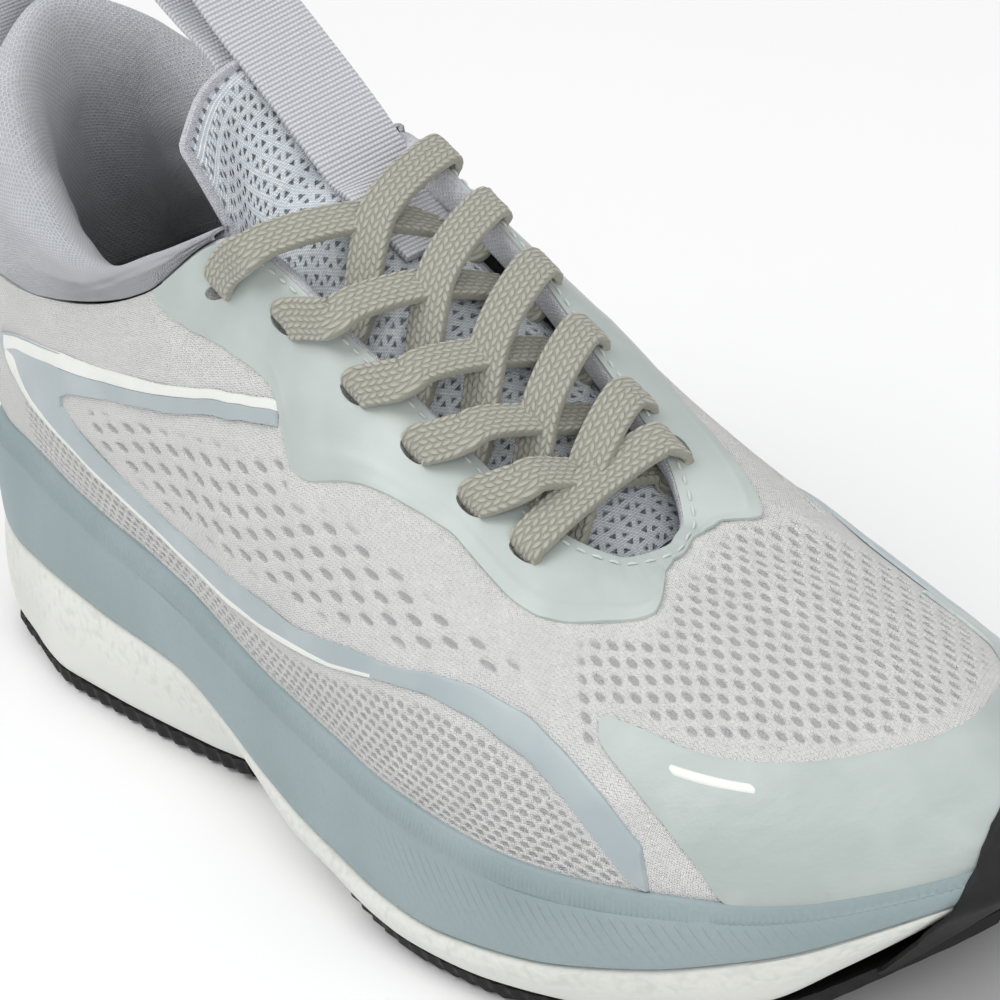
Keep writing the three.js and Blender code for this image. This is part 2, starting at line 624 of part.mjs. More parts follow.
// A tube of any section along a curve: section(side, up) gives offsets around the curve, and
// the section's width lies along a fixed direction.
function loftAlong(curve, lengths, section, width) {
  const points = [];
  let count = 0;
  for (const t of steps(0, 1, lengths)) {
    const tangent = curve.getTangent(t);
    const side = width.clone().addScaledVector(tangent, -width.dot(tangent)).normalize();
    const ring = section(side, tangent.clone().cross(side).normalize());
    count = ring.length;
    points.push(...ring.map((p) => p.add(curve.getPoint(t))));
  }
  const triangles = [];
  for (let i = 0; i < lengths; i++)
    for (let k = 0; k < count; k++) {
      const [a, b] = [i * count + k, i * count + ((k + 1) % count)];
      triangles.push(a, b, b + count, a, b + count, a + count);
    }
  const last = lengths * count;
  for (let k = 1; k + 1 < count; k++) triangles.push(0, k + 1, k, last, last + k, last + k + 1);
  return closedGeometry(points, triangles);
}

// ---- tongue -------------------------------------------------------------------------------
const TONGUE_UNDER = -8.6; // the tongue's face below the upper's outer face
const TONGUE_FROM = 5;
const TONGUE_TO = 9;

// The tongue's face across the throat at a station, from the lateral wing to the medial wing.
function tongueRow(station) {
  const half = (s) => [onUpper(s, 0.72, TONGUE_UNDER), onUpper(s, 1, TONGUE_UNDER)];
  const [l0, l1] = half(station);
  const [m0, m1] = half(mirrored(station));
  return [l0, l1, l1.clone().lerp(m1, 0.5).add(UP), m1, m0];
}

// Above the laces the tongue rises to its top edge.
const TONGUE_TOP_EDGE = [
  [-50, -17, 127],
  [-51, -6, 132],
  [-52, 6, 134],
  [-51, 18, 133],
  [-50, 27, 127],
];
const TOP_START = 0.16;

function tongueTopRow(f) {
  const start = tongueRow(TONGUE_FROM);
  return TONGUE_TOP_EDGE.map((edge, k) => {
    const bend = start[k].clone().add(new THREE.Vector3(-13, start[k].y * -0.42, 12));
    return new THREE.QuadraticBezierCurve3(start[k], bend, v3(edge)).getPoint(f);
  });
}

// A layer of a strip of rows, at depths below its face.
function tongueLayer(rows, layer) {
  const normalAt = (i, j) => {
    const [a, b] = [rows[Math.max(i - 1, 0)], rows[Math.min(i + 1, rows.length - 1)]];
    const along = b[j].clone().sub(a[j]);
    const across = rows[i][Math.min(j + 1, 4)].clone().sub(rows[i][Math.max(j - 1, 0)]);
    const normal = along.cross(across).normalize();
    return normal.z < 0 ? normal.negate() : normal;
  };
  const at = (i, j, side) => rows[i][j].clone().addScaledVector(normalAt(i, j), layer[side]);
  return sheet(rows.length - 1, 4, at);
}

function tongue() {
  const lower = range(TONGUE_FROM, TONGUE_TO, 0.5).map(tongueRow);
  const upper = range(TOP_START, 1, (1 - TOP_START) / 4).map(tongueTopRow);
  for (const [name, layer] of Object.entries(TONGUE_LAYERS)) {
    const look = name === "face" ? TONGUE_BLUE : LILAC;
    part(shoe, "tongue_" + name, tongueLayer(lower, layer), look);
  }
  part(tongueTop, "tongue_top", tongueLayer(upper, [TONGUE_LAYERS.lining[0], 0]), TONGUE_BLUE);
  const keeper = range(5.3, 5.56, 0.13).map((s) => {
    const [, lateral, , medial] = tongueRow(s);
    return steps(0.25, 0.75, 4).map((f) => lateral.clone().lerp(medial, f).add(UP));
  });
  part(shoe, "lace_keeper", tongueLayer(keeper, [0.5, 1.1]), LILAC);
}

const LOOP_PATH = [
  [-39.5, 117.5], [-41, 123.5], [-47, 131.5], [-57, 140.5], [-67, 150], [-75, 157],
  [-83, 158.5], [-86, 152], [-80, 144.5], [-70, 138.5], [-60.5, 134],
];
const LOOP_Y = 6;
const TAB_PATH = [
  [-147.6, 93], [-145.4, 104], [-142.3, 119], [-138.5, 131], [-137.5, 140], [-142, 147.5],
  [-147, 141], [-149.5, 131], [-150.5, 119], [-150.8, 104], [-150.9, 93],
];

function pulls() {
  part(tongueTop, "tongue_pull_loop", strap(LOOP_PATH, LOOP_Y, LOOP_WIDTH), LILAC);
  part(heelTab, "heel_pull_tab", strap(TAB_PATH, 0, TAB_WIDTH), LILAC);
}

// ---- lace ---------------------------------------------------------------------------------
const OVER = FILM[1] + LACE_THICKNESS / 2 + 0.4; // lace centre on the film
const UNDER = (LINING[0] + TONGUE_UNDER) / 2; // lace centre between the lining and the tongue
const LOW_CROSSING = -1.9; // lace centres at a crossing, above the middle of the throat's edges
const HIGH_CROSSING = 0.5;
const EDGE_SHARE = 0.17; // part of a strand that lies on each eyestay

// From under eyelet `start` on one side, across the tongue, over the other side into eyelet `end`.
function strand(start, end, level) {
  const slant = mirrored(end) - start;
  const leave = start + slant * EDGE_SHARE;
  const arrive = end + (mirrored(start) - end) * EDGE_SHARE;
  const middle = start + slant / 2;
  const crossing = face(middle, 1).lerp(face(mirrored(middle), 1), 0.5).addScaledVector(UP, level);
  const rise = onUpper(arrive, 1, OVER + 0.8).lerp(crossing, 0.2).addScaledVector(UP, 1.6);
  return [
    onUpper(start, EYELET_HEIGHT, UNDER),
    onUpper(leave, 0.98, UNDER - 0.2),
    crossing,
    rise,
    onUpper(arrive, 1, OVER + 0.8),
    onUpper(mix(arrive, end, 0.6), 0.92, OVER + 0.3),
    onUpper(end, EYELET_HEIGHT + 0.012, OVER - 0.9),
    onUpper(end, EYELET_HEIGHT, -1.6),
  ];
}

// One end of the lace: from the front bar into the last eyelet and up to the first, side by side.
function laceHalf(first, second) {
  const points = [
    onUpper(first(EYELETS), 1.02, OVER + 1),
    onUpper(first(EYELETS), 0.92, OVER + 0.2),
    onUpper(first(EYELETS), EYELET_HEIGHT + 0.012, OVER - 0.9),
    onUpper(first(EYELETS), EYELET_HEIGHT, -1.6),
  ];
  let [from, to] = [first, second];
  for (let n = EYELETS - 1; n >= 1; n--) {
    const medialStart = from === medialEyelet;
    const high = medialStart === (n === EYELETS - 1);
    points.push(...strand(from(n + 1), to(n), high ? HIGH_CROSSING : LOW_CROSSING));
    [from, to] = [to, from];
  }
  return { points, last: from };
}

// The tucked end behind the first eyelet, with room for the aglet after it.
const tuckedEnd = (eyelet) => {
  const side = (s) => (eyelet === medialEyelet ? mirrored(s) : s);
  const at = (s, h) => onUpper(side(s), h, UNDER - 0.3);
  const hidden = [at(4.7, 0.74), at(4.6, 0.62), at(4.55, 0.5), at(4.5, 0.34)];
  return [onUpper(eyelet(1), EYELET_HEIGHT - 0.02, UNDER), ...hidden];
};

const THROAT = face(8.5, 1).sub(face(5, 1)).setY(0).normalize();

// An oval section with a number of corners.
const oval = (corners, width, thickness) => (side, up) =>
  steps(0, corners - 1, corners - 1).map((k) => {
    const turn = ((k + 0.5) / corners) * 2 * Math.PI;
    const across = side.clone().multiplyScalar((Math.cos(turn) * width) / 2);
    return across.addScaledVector(up, (Math.sin(turn) * thickness) / 2);
  });

// The stiff tip goes on from the lace's tucked end.
function aglet(name, from, to) {
  const along = to.clone().sub(from).normalize();
  const start = from.clone().addScaledVector(along, AGLET_GAP);
  const line = new THREE.LineCurve3(start, start.clone().addScaledVector(along, AGLET_LENGTH));
  part(shoe, name, loftAlong(line, 2, oval(8, AGLET_WIDTH, AGLET_WIDTH), THROAT), LACE_TAUPE);
}

function laces() {
  const a = laceHalf(lateralEyelet, medialEyelet);
  const b = laceHalf(medialEyelet, lateralEyelet);
  const front = [lateralEyelet, medialEyelet].map((eyelet) => face(eyelet(EYELETS), 1));
  const bar = front[0].lerp(front[1], 0.5).addScaledVector(UP, 2);
  const ends = [tuckedEnd(a.last), tuckedEnd(b.last)];
  const route = [
    ...ends[0].slice(0, 4).reverse(),
    ...a.points.slice().reverse(),
    bar,
    ...b.points,
    ...ends[1].slice(0, 4),
  ];
  const curve = new THREE.CatmullRomCurve3(route, false, "centripetal");
  const lengths = (route.length - 1) * 2;
  const section = oval(LACE_SIDES, LACE_WIDTH, LACE_THICKNESS);
  part(shoe, "lace", loftAlong(curve, lengths, section, THROAT), LACE_TAUPE);
  const medialFirst = a.last === medialEyelet;
  aglet(medialFirst ? "aglet_medial" : "aglet_lateral", ends[0][3], ends[0][4]);
  aglet(medialFirst ? "aglet_lateral" : "aglet_medial", ends[1][3], ends[1][4]);
}

// ---- assembly -----------------------------------------------------------------------------
sole();
outsole();
toeBumper();
shell("knit", KNIT, KNIT_GREY);
shell("lining", LINING, LILAC);
stiffeners();
overlays();
collar();
tongue();
pulls();
laces();

// The model is drawn about the foot; this centres its bounding box on the origin.
shoe.position.set(...CENTRING);

export default shoe;
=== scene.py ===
"""A laced running shoe for the right foot: fine surfaces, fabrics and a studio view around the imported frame."""
import math

import bpy
import numpy as np
from mathutils import Matrix, Vector


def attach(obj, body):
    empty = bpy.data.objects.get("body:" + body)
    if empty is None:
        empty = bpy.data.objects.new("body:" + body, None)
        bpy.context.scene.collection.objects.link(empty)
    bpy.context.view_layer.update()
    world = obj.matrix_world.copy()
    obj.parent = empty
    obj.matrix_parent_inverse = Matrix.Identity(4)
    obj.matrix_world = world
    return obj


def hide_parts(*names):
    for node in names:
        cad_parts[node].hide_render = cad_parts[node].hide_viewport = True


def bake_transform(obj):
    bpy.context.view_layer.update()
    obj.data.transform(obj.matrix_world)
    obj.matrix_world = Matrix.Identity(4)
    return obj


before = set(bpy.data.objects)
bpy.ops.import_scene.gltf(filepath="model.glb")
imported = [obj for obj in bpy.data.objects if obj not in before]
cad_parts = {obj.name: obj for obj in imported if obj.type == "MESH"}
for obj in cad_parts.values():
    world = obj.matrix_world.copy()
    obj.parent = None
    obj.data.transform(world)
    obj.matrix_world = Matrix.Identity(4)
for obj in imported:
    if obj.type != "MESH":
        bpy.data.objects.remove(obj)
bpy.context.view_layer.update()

# ---- frame --------------------------------------------------------------------------------
# Shapes are drawn in millimetres about the foot; CENTRING puts them on the frame's origin.
CENTRING = np.array([-2.3, 1.8, 0.0])
MM = 0.001
UP = np.array([0.0, 0.0, 1.0])


def metres(points):
    return (np.asarray(points, float) + CENTRING) * MM


# ---- camera -------------------------------------------------------------------------------
AZIMUTH, ELEVATION, ROLL = map(math.radians, (60.3, 27.0, -11.2))
DISTANCE = 900.0  # mm from the point looked at
PIXELS_PER_MM = 5.35  # at that distance, in a picture 1000 wide
AIM = (3.93, 6.17)  # right and up of the point (0, 0, 50)
SENSOR = 36.0


def make_camera():
    ca, sa, ce, se = math.cos(AZIMUTH), math.sin(AZIMUTH), math.cos(ELEVATION), math.sin(ELEVATION)
    right = np.array([ca, sa, 0])
    upward = np.array([-sa * se, ca * se, ce])
    back = np.array([sa * ce, -ca * ce, se])
    r = math.cos(ROLL) * right + math.sin(ROLL) * upward
    u = -math.sin(ROLL) * right + math.cos(ROLL) * upward
    target = np.array([0, 0, 50]) + AIM[0] * r + AIM[1] * u
    data = bpy.data.cameras.new("camera")
    data.sensor_width = SENSOR
    data.lens = PIXELS_PER_MM * DISTANCE / 1000 * SENSOR
    data.clip_start, data.clip_end = 0.05, 20
    cam = bpy.data.objects.new("camera", data)
    bpy.context.scene.collection.objects.link(cam)
    basis = Matrix([[r[k], u[k], back[k]] for k in range(3)]).to_4x4()
    cam.matrix_world = Matrix.Translation(Vector(metres(target + back * DISTANCE))) @ basis
    bpy.context.scene.camera = cam


make_camera()

# ---- the upper's outer face ---------------------------------------------------------------
# A station of the upper runs from the bite line to the top edge: bite point, top point and two
# handles, [out, up] from each. Stations 0 to 11 go from the heel by the lateral side to the toe.
STATIONS = [
    [[-149, 1, 47], [-146, 0, 80], [4, 12], [3, -10]],
    [[-138, -26, 46], [-134, -23, 80], [4, 12], [3, -10]],
    [[-112, -33, 45], [-109, -31, 83], [3, 14], [3, -12]],
    [[-81, -37, 43], [-80, -32, 88], [3, 14], [3, -13]],
    [[-46, -40, 41], [-54, -30, 97], [3, 16], [3, -15]],
    [[-13, -45, 38], [-34, -19, 109], [3, 18], [8, -15]],
    [[18, -48, 35], [0, -16, 96], [3, 18], [13, -10]],
    [[46, -50, 33], [26, -14, 83], [2, 16], [15, -7]],
    [[74, -47, 31], [47, -12, 73], [2, 14], [17, -5]],
    [[101, -38, 31], [57, -7, 68], [2, 13], [22, -4]],
    [[128, -23, 33], [60, -3, 67], [2, 13], [30, -5]],
    [[150, 7, 38], [61, 2, 67], [3, 13], [38, -8]],
    [[137, 30, 36], [60, 5, 67.5], [2, 13], [30, -5]],
    [[110, 44, 32], [57, 9, 69], [2, 13], [22, -4]],
    [[80, 48, 31], [47, 13, 77], [2, 15], [17, -5]],
    [[52, 46, 33], [26, 16, 88], [2, 17], [15, -6]],
    [[20, 40, 36], [0, 19, 102], [2, 19], [13, -8]],
    [[-12, 35, 40], [-34, 21, 115], [3, 20], [9, -14]],
    [[-46, 33, 43], [-54, 30, 99], [3, 16], [3, -15]],
    [[-81, 34, 45], [-80, 32, 89], [3, 14], [3, -13]],
    [[-112, 33, 46], [-109, 31, 84], [3, 14], [3, -12]],
    [[-138, 25, 47], [-134, 23, 81], [4, 12], [3, -10]],
]
AROUND = len(STATIONS)


def spline(points, at, closed=True):
    """Catmull-Rom through points, read at any array of positions counted in points."""
    points = np.asarray(points, float)
    at = np.asarray(at, float)
    i = np.floor(at).astype(int)
    f = (at - i).reshape(at.shape + (1,) * (points.ndim - 1))
    pick = (lambda k: k % len(points)) if closed else (lambda k: np.clip(k, 0, len(points) - 1))
    a, b, c, d = (points[pick(i + k)] for k in (-1, 0, 1, 2))
    return 0.5 * (2 * b + (c - a) * f + (2 * a - 5 * b + 4 * c - d) * f**2 + (3 * b - a - 3 * c + d) * f**3)


def control_rows():
    rows = [[], [], [], []]
    for bite_point, top_point, low, high in STATIONS:
        b, t = np.array(bite_point, float), np.array(top_point, float)
        out = (b - t) * [1, 1, 0]
        out /= np.linalg.norm(out)
        for row, p in zip(rows, (b, b + out * low[0] + UP * low[1], t + out * high[0] + UP * high[1], t)):
            row.append(p)
    return [np.array(row) for row in rows]


ROWS = control_rows()


def unit(v):
    return v / np.maximum(np.linalg.norm(v, axis=-1, keepdims=True), 1e-9)


def lengths(points):
    """The length from the first point to each point of a row."""
    return np.concatenate([[0], np.cumsum(np.linalg.norm(np.diff(points, axis=0), axis=1))])


def face(s, h):
    """The outer face at station s and height h, from 0 at the bite line to 1 at the top edge."""
    s, h = np.broadcast_arrays(np.asarray(s, float), np.asarray(h, float))
    b, p, q, t = (spline(row, s) for row in ROWS)
    h = h[..., None]
    r = 1 - h
    return b * r**3 + 3 * p * h * r * r + 3 * q * h * h * r + t * h**3


def face_normal(s, h):
    s, h = np.broadcast_arrays(np.asarray(s, float), np.asarray(h, float))
    h = np.clip(h, 0.02, 0.98)
    along = face(s + 0.05, h) - face(s - 0.05, h)
    upward = face(s, h + 0.02) - face(s, h - 0.02)
    return unit(np.cross(along, upward))


def on_upper(s, h, offset=0.0):
    s, h = np.broadcast_arrays(np.asarray(s, float), np.asarray(h, float))
    return face(s, h) + face_normal(s, h) * np.broadcast_to(offset, s.shape)[..., None]


def mirrored(s):
    return AROUND - s


# Lengths over the upper, in mm, for patterns: along at a height of 0.4, and up each station.
TABLE_S = np.linspace(0, AROUND, 441)
TABLE_U = lengths(face(TABLE_S, 0.4))
TABLE_V = sum(
    np.linalg.norm(face(TABLE_S, (k + 1) / 20) - face(TABLE_S, k / 20), axis=1) for k in range(20)
)


def upper_uv(s, h):
    s = np.asarray(s, float)
    turns = np.floor(s / AROUND)
    w = s - turns * AROUND
    return np.interp(w, TABLE_S, TABLE_U) + turns * TABLE_U[-1], np.interp(w, TABLE_S, TABLE_V) * h


# ---- patterns, for arrays and for shader nodes alike -----------------------------------------
class Value:
    """A number in a node tree, with arithmetic that adds Math nodes."""

    def __init__(self, tree, socket):
        self.tree, self.socket = tree, socket

    def math(self, operation, *others, clamp=False):
        node = self.tree.nodes.new("ShaderNodeMath")
        node.operation, node.use_clamp = operation, clamp
        for k, x in enumerate((self, *others)):
            if isinstance(x, Value):
                self.tree.links.new(x.socket, node.inputs[k])
            else:
                node.inputs[k].default_value = float(x)
        return Value(self.tree, node.outputs[0])

    def __add__(self, x): return self.math("ADD", x)
    def __radd__(self, x): return self.math("ADD", x)
    def __sub__(self, x): return self.math("SUBTRACT", x)
    def __rsub__(self, x): return (self * -1) + x
    def __mul__(self, x): return self.math("MULTIPLY", x)
    def __rmul__(self, x): return self.math("MULTIPLY", x)
    def __truediv__(self, x): return self.math("DIVIDE", x)


def either(name, array_form):
    return lambda x, *rest: x.math(name, *rest) if isinstance(x, Value) else array_form(x, *rest)


sine = either("SINE", np.sin)
floor = either("FLOOR", np.floor)
fraction = either("FRACT", lambda x: x - np.floor(x))
size = either("ABSOLUTE", np.abs)
root = either("SQRT", lambda x: np.sqrt(np.maximum(x, 0)))
least = either("MINIMUM", np.minimum)
most = either("MAXIMUM", np.maximum)


def ramp(x, low, high):
    """0 below low, 1 above high, and straight between."""
    if isinstance(x, Value):
        return ((x - low) / (high - low)).math("ADD", 0.0, clamp=True)
    return np.clip((x - low) / (high - low), 0, 1)


def hole_rows(u, v, pitch, rise, length, width, slant):
    """Oval holes in staggered rows: 1 inside a hole, 0 between them."""
    row = floor(v / rise)
    a = (fraction(u / pitch + row * 0.5) - 0.5) * pitch
    b = (fraction(v / rise) - 0.5) * rise
    a = a + b * slant
    r = root((a / (length / 2)) * (a / (length / 2)) + (b / (width / 2)) * (b / (width / 2)))
    return 1 - ramp(r, 0.75, 1.12)


def perforations(u, v):
    """Long holes of the side panels."""
    return hole_rows(u - v * 0.7, v, 10.2, 2.35, 4.9, 1.35, 0.7)


def vamp_holes(x, y):
    return hole_rows(x, y, 5.2, 1.85, 3.0, 1.3, 0.0)


def honeycomb(u, v):
    return hole_rows(u, v, 2.9, 1.75, 2.2, 1.25, 0.0)


def stars(u, v):
    """Threads crossing in three directions: 1 on a thread, 0 in the holes between."""
    lines = [fraction((u * c + v * d) / 3.1 + 0.5) - 0.5 for c, d in ((1, 0.577), (0, 1.155), (-1, 0.577))]
    nearest = least(least(size(lines[0]), size(lines[1])), size(lines[2]))
    return 1 - ramp(nearest, 0.18, 0.28)


def braid(u, v):
    """Interlocking oval stitches: u across the lace from -1 to 1, v along it in mm."""
    column = u * 3.5 + 0.5
    lean = fraction(floor(column) * 0.5) * 4 - 1
    a = fraction(v / 1.9 + (fraction(column) - 0.5) * lean * 0.42 + fraction(floor(column) * 0.25) * 2) - 0.5
    b = fraction(column) - 0.5
    return 1 - ramp(root(a * a + b * b) * 2, 0.62, 1.02)


# ---- meshes -------------------------------------------------------------------------------
SHARP = math.radians(48)


def make_object(name, points, faces, uv=None, material=None, masks=None):
    mesh = bpy.data.meshes.new(name)
    mesh.from_pydata(metres(points).tolist(), [], [list(map(int, f)) for f in faces])
    if uv is not None:
        layer = mesh.uv_layers.new(name="mm")
        corners = np.empty(len(mesh.loops), int)
        mesh.loops.foreach_get("vertex_index", corners)
        layer.data.foreach_set("uv", (np.asarray(uv, float)[corners] * 0.01).ravel())
    for key, values in (masks or {}).items():
        attribute = mesh.attributes.new(key, "FLOAT", "POINT")
        attribute.data.foreach_set("value", np.asarray(values, float).ravel())
    mesh.validate()
    mesh.shade_smooth()
    mesh.set_sharp_from_angle(angle=SHARP)
    obj = bpy.data.objects.new(name, mesh)
    bpy.context.scene.collection.objects.link(obj)
    if material:
        mesh.materials.append(material)
    return obj


def grid_quads(ids, ring):
    a = ids if not ring else np.concatenate([ids, ids[:1]], axis=0)
    quads = np.stack([a[:-1, :-1], a[1:, :-1], a[1:, 1:], a[:-1, 1:]], axis=-1)
    return quads.reshape(-1, 4)


def perimeter(ids):
    return np.concatenate([ids[:-1, 0], ids[-1, :-1], ids[:0:-1, -1], ids[0, :0:-1]])


def bridge(fine, coarse, m):
    """Triangles between a closed loop and one with m times fewer points."""
    faces = []
    n = len(fine)
    for k in range(len(coarse)):
        c0, c1 = coarse[k], coarse[(k + 1) % len(coarse)]
        half = m // 2
        for j in range(m):
            faces.append((fine[(k * m + j + 1) % n], fine[(k * m + j) % n], c0 if j < half else c1))
        faces.append((fine[(k * m + half) % n], c0, c1))
    return faces


def closed_sheet(name, outer, inner, uv, material, step=4, ring=False, masks=None):
    """A closed body from a fine outer grid and an inner grid that keeps every step-th point."""
    c, r = outer.shape[:2]
    fine = np.arange(c * r).reshape(c, r)
    ci = inner[::step, ::step]
    coarse = c * r + np.arange(ci.shape[0] * ci.shape[1]).reshape(ci.shape[:2])
    faces = [list(f) for f in grid_quads(fine, ring)]
    faces += [list(f[::-1]) for f in grid_quads(coarse, ring)]
    if ring:
        faces += bridge(fine[:, 0], coarse[:, 0], step)
        faces += bridge(fine[::-1, -1], coarse[::-1, -1], step)
    else:
        faces += bridge(perimeter(fine), perimeter(coarse), step)
    points = np.concatenate([outer.reshape(-1, 3), ci.reshape(-1, 3)])
    uvs = np.concatenate([uv.reshape(-1, 2), uv[::step, ::step].reshape(-1, 2)])
    extra = {}
    for key, values in (masks or {}).items():
        extra[key] = np.concatenate([values.ravel(), values[::step, ::step].ravel()])
    return make_object(name, points, faces, uvs, material, extra)


def eased(n, length, edge=0.45):
    """Fractions from 0 to 1 in n parts, with two short parts at each end for a rounded edge."""
    e = edge / length
    inner = np.linspace(2 * e, 1 - 2 * e, n - 3)
    return np.concatenate([[0, e * 0.6], inner, [1 - e * 0.6, 1]])


def rounded(t, length, radius):
    """How full a layer is at fraction t of a width, 0 at its edges and 1 a radius inside them."""
    d = np.minimum(t, 1 - t) * length
    return np.sqrt(1 - (1 - np.clip(d / radius, 0, 1)) ** 2)


def across(low, high, s, t):
    """Heights between two height curves at stations s, for fractions t."""
    lo, hi = low(s)[:, None], high(s)[:, None]
    return lo + (hi - lo) * t[None, :]


def curve(pairs):
    """A height over stations, straight between (station, height) pairs."""
    xs, ys = np.array(pairs, float).T
    return lambda s: np.interp(np.asarray(s, float), xs, ys)


def smooth_curve(pairs, width=0.12):
    """The same with its corners rounded over a width, counted like the first numbers of the pairs."""
    raw = curve(pairs)
    shifts = np.linspace(-1.5, 1.5, 7) * width
    weights = np.exp(-np.linspace(-1.5, 1.5, 7) ** 2)
    weights /= weights.sum()
    return lambda s: sum(w * raw(np.asarray(s, float) + d) for w, d in zip(weights, shifts))


def waves(u, v, length, seed=0.0):
    """A gentle, even unevenness of about -1 to 1."""
    k = 2 * math.pi / length
    total = np.sin(k * (u + 0.6 * v) + seed) + np.sin(k * 1.37 * (0.4 * u - v) + 2.1 * seed + 1)
    total = total + np.sin(k * 0.61 * (u - 1.3 * v) + 0.7 * seed + 2) + 0.6 * np.sin(k * 2.3 * (0.8 * u + 0.5 * v) + 3)
    return total / 3.6


# ---- materials ----------------------------------------------------------------------------
def linear(code):
    """A linear colour from a six-digit sRGB code."""
    values = [int(code[k:k + 2], 16) / 255 for k in (0, 2, 4)]
    return [v / 12.92 if v <= 0.04045 else ((v + 0.055) / 1.055) ** 2.4 for v in values] + [1.0]


class Look:
    """A node material: colours blended by patterns, and bumps in mm."""

    def __init__(self, name, colour, roughness=0.8, sheen=0.0, coat=0.0, specular=0.5):
        self.material = bpy.data.materials.new(name)
        self.material.use_nodes = True
        self.tree = self.material.node_tree
        self.shader = self.tree.nodes["Principled BSDF"]
        self.shader.inputs["Roughness"].default_value = roughness
        self.shader.inputs["Sheen Weight"].default_value = sheen
        self.shader.inputs["Coat Weight"].default_value = coat
        self.shader.inputs["Coat Roughness"].default_value = 0.25
        self.shader.inputs["Specular IOR Level"].default_value = specular
        self.colour = linear(colour)
        self.normal = None
        uv = self.tree.nodes.new("ShaderNodeUVMap")
        uv.uv_map = "mm"
        split = self.tree.nodes.new("ShaderNodeSeparateXYZ")
        self.tree.links.new(uv.outputs[0], split.inputs[0])
        self.u = Value(self.tree, split.outputs[0]) * 100
        self.v = Value(self.tree, split.outputs[1]) * 100
        place = self.tree.nodes.new("ShaderNodeTexCoord")
        self.place = place.outputs["Object"]

    def mask(self, name):
        node = self.tree.nodes.new("ShaderNodeAttribute")
        node.attribute_name = name
        return Value(self.tree, node.outputs["Fac"])

    def noise(self, size_mm, detail=2.0, stretch=(1, 1, 1)):
        """Noise of about 0 to 1 with features of a size."""
        mapping = self.tree.nodes.new("ShaderNodeMapping")
        mapping.inputs["Scale"].default_value = [k / (size_mm * MM) for k in stretch]
        self.tree.links.new(self.place, mapping.inputs[0])
        node = self.tree.nodes.new("ShaderNodeTexNoise")
        node.inputs["Scale"].default_value = 1.0
        node.inputs["Detail"].default_value = detail
        self.tree.links.new(mapping.outputs[0], node.inputs[0])
        return Value(self.tree, node.outputs["Fac"])

    def cells(self, size_mm, randomness):
        """Distance from cell centres over the surface, about 0 to 1."""
        join = self.tree.nodes.new("ShaderNodeCombineXYZ")
        self.tree.links.new((self.u / size_mm).socket, join.inputs[0])
        self.tree.links.new((self.v / size_mm).socket, join.inputs[1])
        node = self.tree.nodes.new("ShaderNodeTexVoronoi")
        node.feature = "SMOOTH_F1"
        node.inputs["Scale"].default_value = 1.0
        node.inputs["Randomness"].default_value = randomness
        self.tree.links.new(join.outputs[0], node.inputs[0])
        return Value(self.tree, node.outputs["Distance"])

    def paint(self, socket):
        """Gives a socket the colour so far: a plain one at first, then a blended one."""
        if isinstance(self.colour, list):
            socket.default_value = self.colour
        else:
            self.tree.links.new(self.colour, socket)

    def blend(self, colour, amount):
        """Blends a colour in by an amount from 0 to 1."""
        node = self.tree.nodes.new("ShaderNodeMix")
        node.data_type = "RGBA"
        self.tree.links.new(amount.socket, node.inputs["Factor"])
        self.paint(node.inputs["A"])
        node.inputs["B"].default_value = linear(colour)
        self.colour = node.outputs["Result"]
        return self

    def bump(self, height, depth_mm, strength=1.0):
        node = self.tree.nodes.new("ShaderNodeBump")
        node.inputs["Strength"].default_value = strength
        node.inputs["Distance"].default_value = depth_mm * MM
        self.tree.links.new(height.socket, node.inputs["Height"])
        if self.normal:
            self.tree.links.new(self.normal, node.inputs["Normal"])
        self.normal = node.outputs["Normal"]
        return self

    def rough(self, value):
        self.tree.links.new(value.socket, self.shader.inputs["Roughness"])
        return self

    def done(self):
        self.paint(self.shader.inputs["Base Color"])
        if self.normal:
            self.tree.links.new(self.normal, self.shader.inputs["Normal"])
        return self.material


def knit_grain(look, pitch=0.95):
    """The fine loops of a knit: small ovals in staggered rows."""
    return hole_rows(look.u, look.v, pitch, pitch * 0.62, pitch * 0.8, pitch * 0.55, 0.0)


def knit_material():
    look = Look("knit", "e4e4e3", 0.9, specular=0.3)
    grain = knit_grain(look)
    look.blend("cfcfce", grain * 0.5)
    look.blend("edecea", ramp(look.noise(9.0), 0.45, 0.75) * 0.35)
    holes = perforations(look.u, look.v) * look.mask("perforated") + vamp_holes(look.u, look.v) * look.mask("vamp")
    net = honeycomb(look.u, look.v) * look.mask("netted")
    look.blend("b0b0b1", most(holes * 0.85, net * 0.8))
    # painted shade: the knit is darkened at the middle of each eyelet, where the hole is in shade
    look.blend("55565a", look.mask("eyelet"))
    look.bump(1 - grain, 0.28).bump(look.noise(0.5), 0.12)
    return look.done()


def mesh_material(name, colour, dark, pitch, amount=0.55):
    look = Look(name, colour, 0.95, sheen=0.2, specular=0.25)
    holes = hole_rows(look.u, look.v, pitch, pitch * 0.6, pitch * 0.8, pitch * 0.5, 0.0)
    look.blend(dark, holes * amount)
    look.blend("c3c4c8", ramp(look.noise(7.0), 0.5, 0.8) * 0.25)
    # painted shade: a mask darkens the colour down the inside of the collar
    look.blend("50545b", look.mask("inside_shade") * 0.85)
    look.bump(1 - holes, 0.4).bump(look.noise(0.5), 0.1)
    return look.done()


def tongue_material():
    look = Look("tongue_mesh", "7d858d", 0.92, sheen=0.15, specular=0.3)
    threads = stars(look.u, look.v)
    fibres = hole_rows(look.u, look.v, 0.62, 0.5, 0.55, 0.4, 0.3)
    look.blend("e8eff5", threads)
    # painted highlight: white glints in spots on the threads
    look.blend("ffffff", threads * ramp(look.noise(1.1), 0.5, 0.62) * 0.8)
    look.blend("a9b3bd", threads * fibres * 0.6)
    look.bump(threads, 0.45).bump(fibres, -0.15)
    return look.done()


